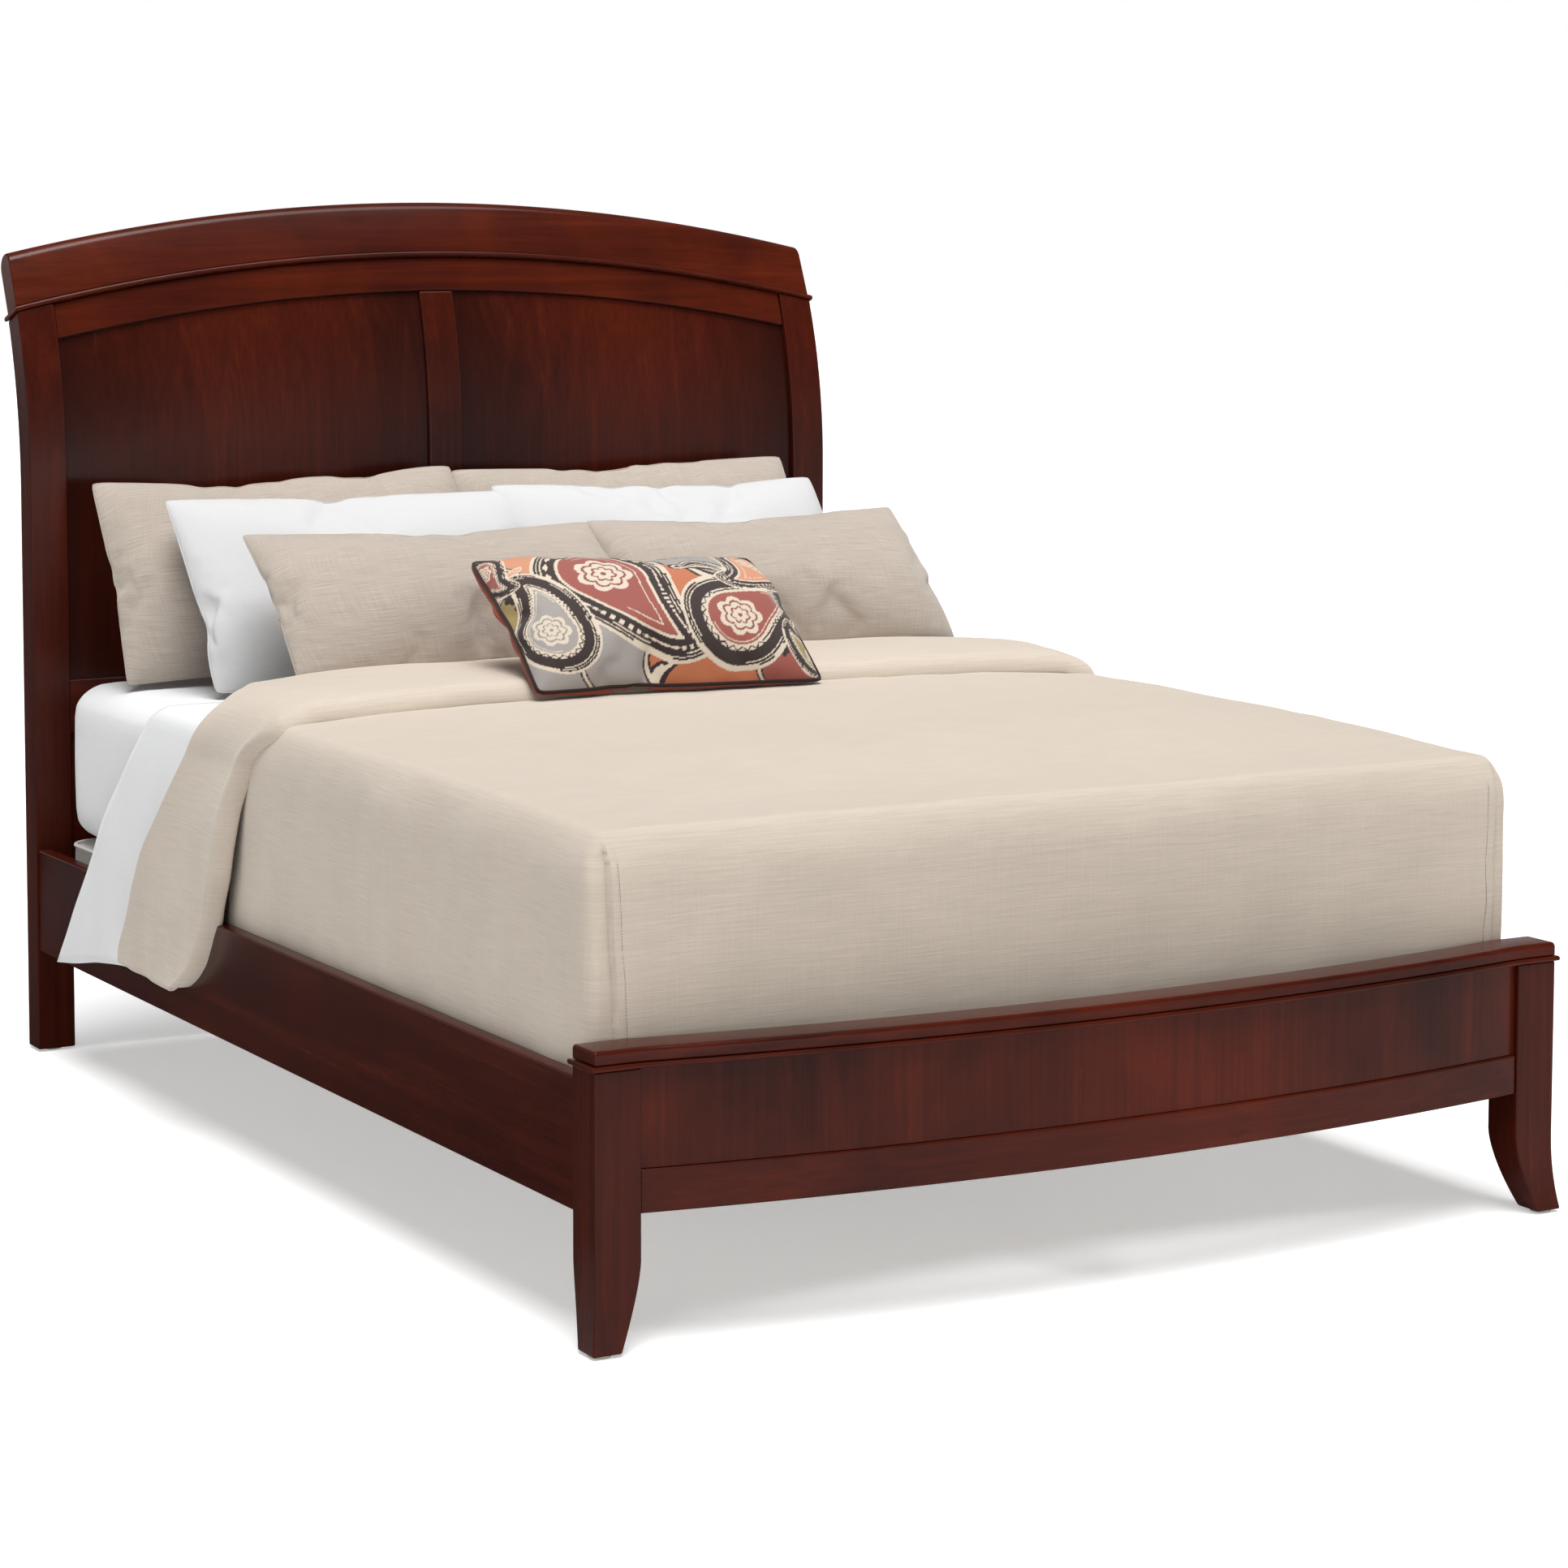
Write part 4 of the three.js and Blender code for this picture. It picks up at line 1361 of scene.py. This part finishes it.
def straightened(mesh, rim):
    """Points of an inflated pillow, with most of the drawing-in of its sides taken out."""
    co = np.array([v.co for v in mesh.vertices], float)
    u, v = shares(cloth_of(mesh).astype(float))
    rim = np.array(rim)

    def bulges(t):
        return np.stack([1 - t * t, (1 - t * t) ** 2, t * (1 - t * t)], 1)

    for axis, here, along in ((0, u, v), (2, v, u)):
        for sign in (-1, 1):
            edge = rim[here[rim] * sign > 0.999]
            place, t = co[edge, axis], along[edge]
            corner = place[np.abs(t) > 0.999].mean()
            fit = np.linalg.lstsq(bulges(t), corner - place, rcond=None)[0]
            pucker = corner - place - bulges(t) @ fit
            order = np.argsort(t)
            rest = np.interp(along, t[order], pucker[order])
            part = np.clip(here * sign, 0, 1)
            co[:, axis] += STRAIGHTENED * (bulges(along) @ fit) * part**1.6 + 0.7 * rest * part**3
    return co


def back_swell(mesh, co, amount):
    """Lets the back of a pillow stand out past its seam."""
    flat = cloth_of(mesh)
    for axis, here in zip((0, 2), shares(flat)):
        gap = (1 - np.abs(here)) * np.ptp(co[:, axis]) / 2
        push = np.exp(-((gap / 0.03) ** 2)) * (1 - np.exp(-((gap / 0.006) ** 2)))
        co[:, axis] += amount * np.sign(here) * push * (flat[:, 2] > 0)
    return co


def slant(spot):
    """How long a pillow is up its slope, and how far it leans from upright."""
    run, rise = (top - base for top, base in zip(spot["top"], spot["base"]))
    return math.hypot(run, rise), math.atan2(run, rise)


def lay_pillow(mesh, rim, spot, seed):
    """Brings an inflated pillow to its size, lets it slump, and leans it in its place."""
    co = back_swell(mesh, straightened(mesh, rim), spot.get("swell", 0.0))
    height, lean = slant(spot)
    goal = np.array([spot["width"], spot["thick"], height])
    co = (co - (co.max(axis=0) + co.min(axis=0)) / 2) * (goal / np.ptp(co, axis=0))
    u, w, v = co[:, 0] / spot["width"] * 2, co[:, 1], co[:, 2] / height * 2
    # The filling settles towards the lower edge.
    co[:, 1] = w * (1 + 0.16 * (-v) * (1 - u * u))
    co[:, 1] += 0.012 * (v * v - 0.35)
    co[:, 2] += 0.005 * np.sin(u * 2.1 + seed) * (v + 1) / 2
    turn = math.radians(spot.get("turn", 0))
    x = co[:, 0] * math.cos(turn) + co[:, 2] * math.sin(turn)
    z = -co[:, 0] * math.sin(turn) + co[:, 2] * math.cos(turn)
    y_mid = FOOT_FACE + (spot["base"][0] + spot["top"][0]) / 2
    z_mid = (spot["base"][1] + spot["top"][1]) / 2
    placed = np.empty_like(co)
    placed[:, 0] = spot["x"] + x
    placed[:, 1] = y_mid + (co[:, 1] * math.cos(lean) + z * math.sin(lean))
    placed[:, 2] = z_mid - co[:, 1] * math.sin(lean) + z * math.cos(lean)
    # Whatever would sink into the bed is pressed flat on it.
    give = 0.02
    floor = spot["base"][1] - 0.012 + give
    below = placed[:, 2] < floor
    placed[below, 2] = floor - give * np.tanh((floor - placed[below, 2]) / give)
    mesh.vertices.foreach_set("co", placed.astype(np.float32).ravel())
    mesh.update()


def filled_pillow(node, seed, spare, pitch, material, levels):
    """Inflates a pillow and leans it in its place. Gives the piece and the loop of its seam."""
    spot = PILLOWS[node]
    width, height = spot["width"] * spare[0], slant(spot)[0] * spare[1]
    mesh, rim = inflate(node, width, height, pitch, bedding().sim_frames, seed)
    lay_pillow(mesh, rim, spot, seed)
    body = softened(temporary(node, mesh), levels)
    piece = keep(f"{node}_filled", body, material, [node])
    loop = [piece.data.vertices[i].co.copy() for i in rim]
    face_outwards(piece.data)
    return piece, loop + [loop[0]]


# The lower and upper edge of each row of pillows, back from the footboard's face and up.
PILLOW_ROWS = {
    "sham_back": {"base": (1.905, 0.676), "top": (2.080, 1.022), "thick": 0.13},
    "pillow": {"base": (1.712, 0.678), "top": (1.945, 0.995), "thick": 0.13},
    "sham_front": {"base": (1.462, 0.724), "top": (1.695, 0.950), "thick": 0.125},
}
PILLOWS = {
    f"{row}_{side}": {"x": x, "width": width, **PILLOW_ROWS[row]}
    for row, side, x, width in (
        ("sham_back", "left", -0.372, 0.70),
        ("sham_back", "right", 0.322, 0.70),
        ("pillow", "left", -0.305, 0.665),
        ("pillow", "right", 0.322, 0.665),
        ("sham_front", "left", -0.268, 0.655),
        ("sham_front", "right", 0.366, 0.63),
    )
}
PLAIN_PILLOWS = tuple(PILLOWS)
PILLOWS["lumbar_pillow"] = {
    "x": -0.064,
    "width": 0.53,
    "base": (1.108, 0.722),
    "top": (1.388, 0.912),
    "thick": 0.145,
    "turn": 2,
    "swell": 0.014,
}


class SLEIGH_OT_pillows(bpy.types.Operator):
    """Builds the shams and the white pillows by cloth simulation."""

    bl_idname = "sleigh.pillows"
    bl_label = "Shams and pillows"

    def execute(self, context):
        for seed, node in enumerate(PLAIN_PILLOWS):
            if node.startswith("pillow"):
                # The pillowcases' cotton is darkened as painted shade.
                slot, cloth = "cotton", cotton("cotton_percale", colours().shaded_pillowcase)
            else:
                # The shams' linen is darkened as painted shade.
                slot, cloth = "linen", woven("linen_woven", colours().shaded_sham_linen, slub=0.55)
            _, loop = filled_pillow(node, seed, (1.05, 1.07), 0.0125, cloth, 1)
            piped(f"{node}_seam", [loop], bedding().seam, cloth)
        return {"FINISHED"}


# ---------- the patterned pillow ----------


def nearest_on(path, radii, p):
    """Signed distance from each point to a shape swept by a circle, and the place along it."""
    best = np.full(len(p), 1e9)
    place = np.zeros(len(p))
    for i, (centre, radius) in enumerate(zip(path, radii)):
        d = np.hypot(p[:, 0] - centre[0], p[:, 1] - centre[1]) - radius
        closer = d < best
        best[closer] = d[closer]
        place[closer] = i / (len(path) - 1)
    return best, place


def teardrop(length_, curl, width, steps=34):
    """A drop with a curled tip: its middle line and its half width along it."""
    path, radii = [(0.0, 0.0)], [width]
    heading = 0.0
    for i in range(1, steps):
        t = i / (steps - 1)
        heading += curl * t**1.3 / steps
        step = length_ / steps
        x, y = path[-1]
        path.append((x + step * math.sin(heading), y + step * math.cos(heading)))
        radii.append(width * (1 - t) ** 0.85 + 0.02 * width)
    return path, radii


def turned(p, centre, size, angle, mirror=False):
    """Points as a motif sees them: from its centre, in its size, and turned its way."""
    cos, sin = math.cos(math.radians(angle)), math.sin(math.radians(angle))
    d = (p - np.array(centre)) / size
    q = np.stack((d[:, 0] * cos + d[:, 1] * sin, d[:, 1] * cos - d[:, 0] * sin), 1)
    if mirror:
        q[:, 0] = -q[:, 0]
    return q


class PrintedCloth:
    """The print's colours at points of the flat cloth, painted layer over layer."""

    cream = np.array((0.68, 0.58, 0.46))
    orange = np.array((0.50, 0.155, 0.065))
    peach = np.array((0.60, 0.26, 0.14))
    rose = np.array((0.31, 0.075, 0.055))
    olive = np.array((0.32, 0.235, 0.085))
    grey = np.array((0.34, 0.31, 0.29))

    def __init__(self, flat):
        self.p = flat[:, :2]
        self.dark = np.array(tuple(colours().print_dark))
        self.paint = np.tile(self.orange, (len(flat), 1))

    def fill(self, where, shade):
        self.paint[where] = shade

    def patches(self, centres):
        """Fields of plain colour that meet in cream lines."""
        warp = np.stack((0.018 * np.sin(self.p[:, 1] * 38 + 1), 0.016 * np.sin(self.p[:, 0] * 31)), 1)
        reach = np.array([np.hypot(*(self.p + warp - c[:2]).T) for c in centres])
        order = np.sort(reach, axis=0)
        for k, centre in enumerate(centres):
            self.fill(reach.argmin(axis=0) == k, centre[2])
        self.fill(order[1] - order[0] < 0.0105, self.dark)
        self.fill(order[1] - order[0] < 0.0050, self.cream)

    def rosette(self, centre, size, angle, shade, line, petals=7):
        q = turned(self.p, centre, size, angle)
        radius, turn = np.hypot(q[:, 0], q[:, 1]), np.arctan2(q[:, 1], q[:, 0])
        lobe = np.abs(np.cos(turn * petals / 2))
        self.fill(radius < 0.80 + 0.22 * lobe, shade)
        self.fill((np.abs(radius - 0.58 - 0.16 * lobe) < 0.05) & (radius < 1), line)
        inner = np.abs(np.cos(turn * petals / 2 + 0.8))
        self.fill((np.abs(radius - 0.30 - 0.12 * inner) < 0.045) & (radius < 0.6), line)
        self.fill(radius < 0.10, line)

    def sprig(self, centre, size, angle, shade, mirror=False):
        """A bloom on a curled stem with two leaves."""
        q = turned(self.p, centre, size, angle, mirror)
        radius, turn = np.hypot(q[:, 0], q[:, 1]), np.arctan2(q[:, 1], q[:, 0])
        self.fill(radius < 0.55 + 0.22 * np.abs(np.cos(turn * 3)), shade)
        stem = [(0.5 * math.sin(t * 4.0), -0.5 - t * 1.9) for t in spread(0, 1, 18)]
        self.fill(nearest_on(stem, [0.10] * len(stem), q)[0] < 0, shade)
        curl = [(0.42 + 0.34 * math.cos(t), -1.3 + 0.34 * math.sin(t)) for t in spread(-2.6, 2.6, 16)]
        self.fill(nearest_on(curl, [0.09] * len(curl), q)[0] < 0, shade)
        for x, y in ((-0.42, -1.0), (0.55, -2.0)):
            self.fill(np.hypot((q[:, 0] - x) / 0.34, (q[:, 1] - y) / 0.19) < 1, shade)

    def drop(self, centre, size, angle, mirror, core, edging):
        """A curled drop: cream and dark bands round a plain heart with a rosette."""
        q = turned(self.p, centre, size, angle, mirror)
        path, radii = teardrop(2.5, 2.7, 1.0)
        d, place = nearest_on(path, radii, q)
        around = np.where(place < 0.03, np.arctan2(q[:, 1], q[:, 0]), 3.2 + place * 5.2)
        self.fill(d < 0.26, self.cream)
        self.fill((np.abs(d - 0.17) < 0.022) & (np.sin(around * 1.7) > -0.4), self.dark)
        self.fill(d < 0.13, self.dark)
        self.fill((np.abs(d - 0.07) < 0.014) & (np.sin(around * 2.3 + 1) > -0.2), self.cream)
        beat = np.abs(around / 0.30 % 1 - 0.5) * 2
        if edging == "diamonds":
            self.fill(beat * 0.9 + np.abs(d + 0.03) / 0.075 < 0.72, self.cream)
        self.fill(d < -0.19, self.cream)
        if edging == "teeth":
            self.fill((d < -0.17 - 0.10 * beat) & (d > -0.30), self.dark)
            self.fill((d < -0.22 - 0.08 * beat) & (d > -0.34), self.cream)
        self.fill(d < (-0.34 if edging == "teeth" else -0.25), core)
        self.fill((np.abs(d + 0.40) < 0.012) & (q[:, 0] > -0.2), self.cream)
        a = math.radians(angle)
        x, y = centre[0] - 0.1 * size * math.sin(a), centre[1] + 0.1 * size * math.cos(a)
        self.rosette((x, y), size * 0.52, angle, self.cream, core * 0.8)

    def scroll(self, centre, size, angle, mirror, shade, lining):
        """A hooked stroke that swells in its middle."""
        q = turned(self.p, centre, size, angle, mirror)
        path, _ = teardrop(3.4, 6.6, 0.1, 40)
        wide = [0.03 + 0.20 * math.sin(math.pi * (i / 39) ** 0.7) for i in range(40)]
        d, _ = nearest_on(path, wide, q)
        self.fill(d < 0.10, lining)
        self.fill(d < 0, shade)
        self.fill(np.abs(d + 0.10) < 0.022, lining)


def paint_print(flat):
    """The whole print: an arrangement of drops, scrolls, rosettes and sprigs."""
    c = PrintedCloth(flat)
    c.patches([
        (-0.255, 0.035, c.olive), (-0.225, -0.115, c.grey), (-0.190, 0.120, c.peach),
        (-0.115, -0.10, c.grey), (-0.035, 0.13, c.grey), (0.005, -0.075, c.orange),
        (0.075, -0.135, c.orange), (0.100, 0.115, c.grey), (0.205, -0.005, c.rose),
        (0.205, 0.13, c.peach), (0.25, -0.12, c.rose), (0.03, 0.03, c.orange),
    ])
    for centre, size, angle, mirror in (
        ((-0.240, 0.036), 0.023, 20, False),
        ((-0.150, 0.118), 0.018, 75, True),
        ((0.235, -0.045), 0.022, -20, False),
        ((-0.030, -0.112), 0.015, 30, True),
        ((0.075, 0.122), 0.018, 80, False),
        ((0.195, -0.120), 0.016, 100, False),
    ):
        c.sprig(centre, size, angle, c.dark, mirror)
    for scroll in (
        ((-0.215, 0.085), 0.046, 128, False, c.cream, c.dark),
        ((-0.200, 0.092), 0.030, 118, False, c.peach, c.cream),
        ((0.045, 0.052), 0.050, -70, False, c.cream, c.dark),
        ((0.050, 0.050), 0.036, -60, False, c.dark, c.cream),
        ((0.012, -0.108), 0.036, 40, False, c.dark, c.cream),
        ((0.150, 0.062), 0.040, -50, False, c.dark, c.cream),
        ((0.262, 0.020), 0.032, 20, True, c.peach, c.dark),
    ):
        c.scroll(*scroll)
    for drop in (
        ((-0.080, 0.050), 0.088, 196, True, c.rose, "diamonds"),
        ((0.118, -0.062), 0.076, -56, False, c.rose, "teeth"),
        ((-0.205, -0.072), 0.060, -14, True, c.grey, "teeth"),
        ((0.222, 0.098), 0.052, 146, False, c.peach, "diamonds"),
        ((-0.268, 0.128), 0.038, 190, True, c.rose, "teeth"),
        ((0.268, -0.128), 0.036, 60, False, c.olive, "teeth"),
    ):
        c.drop(*drop)
    back = flat[:, 2] > 0.02
    c.fill(back, np.array(tuple(colours().print_red)))
    return c.paint


class SLEIGH_OT_lumbar_pillow(bpy.types.Operator):
    """Builds the patterned pillow, with its piping."""

    bl_idname = "sleigh.lumbar_pillow"
    bl_label = "Patterned pillow"

    def execute(self, context):
        cloth = printed("printed_cloth")
        piece, loop = filled_pillow(
            "lumbar_pillow", 9, (1.04, 1.06), 0.0145, cloth, 3
        )
        paint = paint_print(cloth_of(piece.data))
        full = np.ones((len(paint), 4), np.float32)
        full[:, :3] = paint
        layer = piece.data.attributes.new("print", "FLOAT_COLOR", "POINT")
        layer.data.foreach_set("color", full.ravel())
        cord = woven("dark_piping", colours().print_dark, slub=0.4)
        piped("lumbar_pillow_piping", [loop], bedding().piping, cord)
        return {"FINISHED"}


# ---------- stage ----------


STAGE_REACH = 40.0
FLOOR_GLOW = 0.42
WHITE = (1, 1, 1, 1)

# The camera, in metres from the middle of the footboard's face, and in degrees.
EYE = (-3.1727, -4.5944, 1.5238)
EYE_DOWN = 5.355
EYE_RIGHT = 28.634
LENS = 92.77
LENS_SHIFT = (0.0600, -0.1377)


def add_lamp(name, light, place, aim):
    lamp = bpy.data.objects.new(name, light)
    lamp.rotation_euler = (aim - place).to_track_quat("-Z", "Y").to_euler()
    lamp.location = place
    bpy.context.scene.collection.objects.link(lamp)


class SLEIGH_OT_stage(bpy.types.Operator):
    """Builds the floor, the soft lights and the camera."""

    bl_idname = "sleigh.stage"
    bl_label = "Floor, lights and camera"

    def execute(self, context):
        context.scene.view_settings.view_transform = "Standard"
        self.floor()
        self.world(context.scene)
        self.lamps()
        self.camera(context.scene)
        return {"FINISHED"}

    def floor(self):
        """A pale floor to the camera, and a dim room to what mirrors it."""
        reach = STAGE_REACH
        corners = [(-reach, -reach, 0), (reach, -reach, 0), (reach, reach, 0), (-reach, reach, 0)]
        floor = temporary("studio_floor", mesh_from("studio_floor", corners, [(0, 1, 2, 3)]))
        shader = Shader("studio_floor", roughness=0.7, emission_color=WHITE)
        cloud = shader.range(shader.noise((0.6, 0.6, 0.6), detail=2), 0.3, 0.7, 0, 1)
        pale = tuple(colours().floor)
        shader.link(shader.mix(cloud, pale, scaled(pale, 0.985)), "Base Color")
        path = shader.node("ShaderNodeLightPath").outputs
        shader.link(shader.math("MULTIPLY", path["Is Camera Ray"], FLOOR_GLOW), "Emission Strength")
        place = shader.node("ShaderNodeSeparateXYZ", {0: shader.coordinates((1, 1, 1))})
        behind = shader.range(place.outputs["Y"], FOOT_FACE - 0.3, FOOT_FACE + 0.5, 0.0, 1.0)
        room = shader.mix(behind, (0.75,) * 3, (0.07,) * 3)
        dim = shader.node("ShaderNodeBsdfDiffuse", {"Color": room}).outputs[0]
        links = {0: path["Is Glossy Ray"], 1: shader.surface.outputs[0], 2: dim}
        either = shader.node("ShaderNodeMixShader", links).outputs[0]
        shader.put(shader.tree.nodes["Material Output"].inputs["Surface"], either)
        floor.data.materials.append(shader.material)

    def world(self, scene):
        """White to the camera, and a light that fades upwards to everything else."""
        world = bpy.data.worlds.new("studio")
        scene.world = world
        world.use_nodes = True
        tree = world.node_tree
        facing = add_node(tree, "ShaderNodeTexCoord").outputs["Generated"]
        up = add_node(tree, "ShaderNodeSeparateXYZ", {0: facing}).outputs["Z"]
        limits = between(0.0, 0.45, 0.63, 0.10)
        fade = add_node(
            tree, "ShaderNodeMapRange", {0: up}, limits, interpolation_type="SMOOTHSTEP"
        ).outputs[0]
        back = tree.nodes["Background"]
        back.inputs["Strength"].default_value = 1.0
        tree.links.new(fade, back.inputs["Color"])
        seen = add_node(tree, "ShaderNodeBackground", None, {"Color": WHITE, "Strength": 1.0})
        path = add_node(tree, "ShaderNodeLightPath").outputs["Is Camera Ray"]
        links = {0: path, 1: back.outputs[0], 2: seen.outputs[0]}
        blend = add_node(tree, "ShaderNodeMixShader", links).outputs[0]
        tree.links.new(blend, tree.nodes["World Output"].inputs["Surface"])

    def lamps(self):
        middle = FOOT_FACE + BED_LENGTH / 2
        sky = bpy.data.lights.new("overhead_light", "SUN")
        sky.energy = 3.3
        sky.angle = math.radians(36)
        add_lamp("overhead_light", sky, Vector((-0.10, -0.27, 1.0)) * 5, Vector((0, 0, 0)))
        for name, place, aim, width, height, power in (
            ("bed_softbox", (0.3, middle + 0.75, 3.4), (0.1, middle - 0.1, 0.6), 1.8, 1.1, 34),
            ("front_card", (-0.5, FOOT_FACE - 7.0, 0.8), (-0.5, middle, 0.8), 6.0, 1.5, 48),
            ("strip_light", (-3.2, middle - 3.6, 2.6), (0, middle, 0.9), 0.16, 2.4, 14),
        ):
            light = bpy.data.lights.new(name, "AREA")
            light.shape = "RECTANGLE"
            light.size, light.size_y = width, height
            light.energy = power
            add_lamp(name, light, Vector(place), Vector(aim))

    def camera(self, scene):
        camera = bpy.data.cameras.new("camera")
        camera.sensor_width = 36
        camera.lens = LENS
        camera.shift_x, camera.shift_y = LENS_SHIFT
        eye = bpy.data.objects.new("camera", camera)
        eye.location = (EYE[0], FOOT_FACE + EYE[1], EYE[2])
        eye.rotation_euler = (math.radians(90 - EYE_DOWN), 0, math.radians(-EYE_RIGHT))
        scene.collection.objects.link(eye)
        scene.camera = eye


# ---------- add-on ----------

BUILDERS = (
    SLEIGH_OT_headboard,
    SLEIGH_OT_footboard,
    SLEIGH_OT_side_rails,
    SLEIGH_OT_support,
    SLEIGH_OT_hardware,
    SLEIGH_OT_foundation,
    SLEIGH_OT_mattress,
    SLEIGH_OT_top_sheet,
    SLEIGH_OT_duvet,
    SLEIGH_OT_turndown,
    SLEIGH_OT_pillows,
    SLEIGH_OT_lumbar_pillow,
    SLEIGH_OT_stage,
)


class SLEIGH_PT_panel(bpy.types.Panel):
    """Lists the builders and their sizes."""

    bl_label = "Sleigh bed"
    bl_idname = "SLEIGH_PT_panel"
    bl_space_type = "VIEW_3D"
    bl_region_type = "UI"
    bl_category = "Sleigh bed"

    def draw(self, context):
        for builder in BUILDERS:
            self.layout.operator(builder.bl_idname)
        for group in (sizes(), bedding(), colours()):
            box = self.layout.box()
            for key in group.bl_rna.properties.keys():
                if key not in ("rna_type", "name"):
                    box.prop(group, key)


CLASSES = (SleighFrameSizes, SleighBeddingSizes, SleighColours, *BUILDERS, SLEIGH_PT_panel)


def register():
    for cls in CLASSES:
        bpy.utils.register_class(cls)
    bpy.types.Scene.sleigh_frame = PointerProperty(type=SleighFrameSizes)
    bpy.types.Scene.sleigh_bedding = PointerProperty(type=SleighBeddingSizes)
    bpy.types.Scene.sleigh_colours = PointerProperty(type=SleighColours)


def unregister():
    del bpy.types.Scene.sleigh_colours
    del bpy.types.Scene.sleigh_bedding
    del bpy.types.Scene.sleigh_frame
    for cls in reversed(CLASSES):
        bpy.utils.unregister_class(cls)


def main():
    register()
    for builder in BUILDERS:
        group, name = builder.bl_idname.split(".")
        getattr(getattr(bpy.ops, group), name)()


if __name__ == "__main__":
    main()
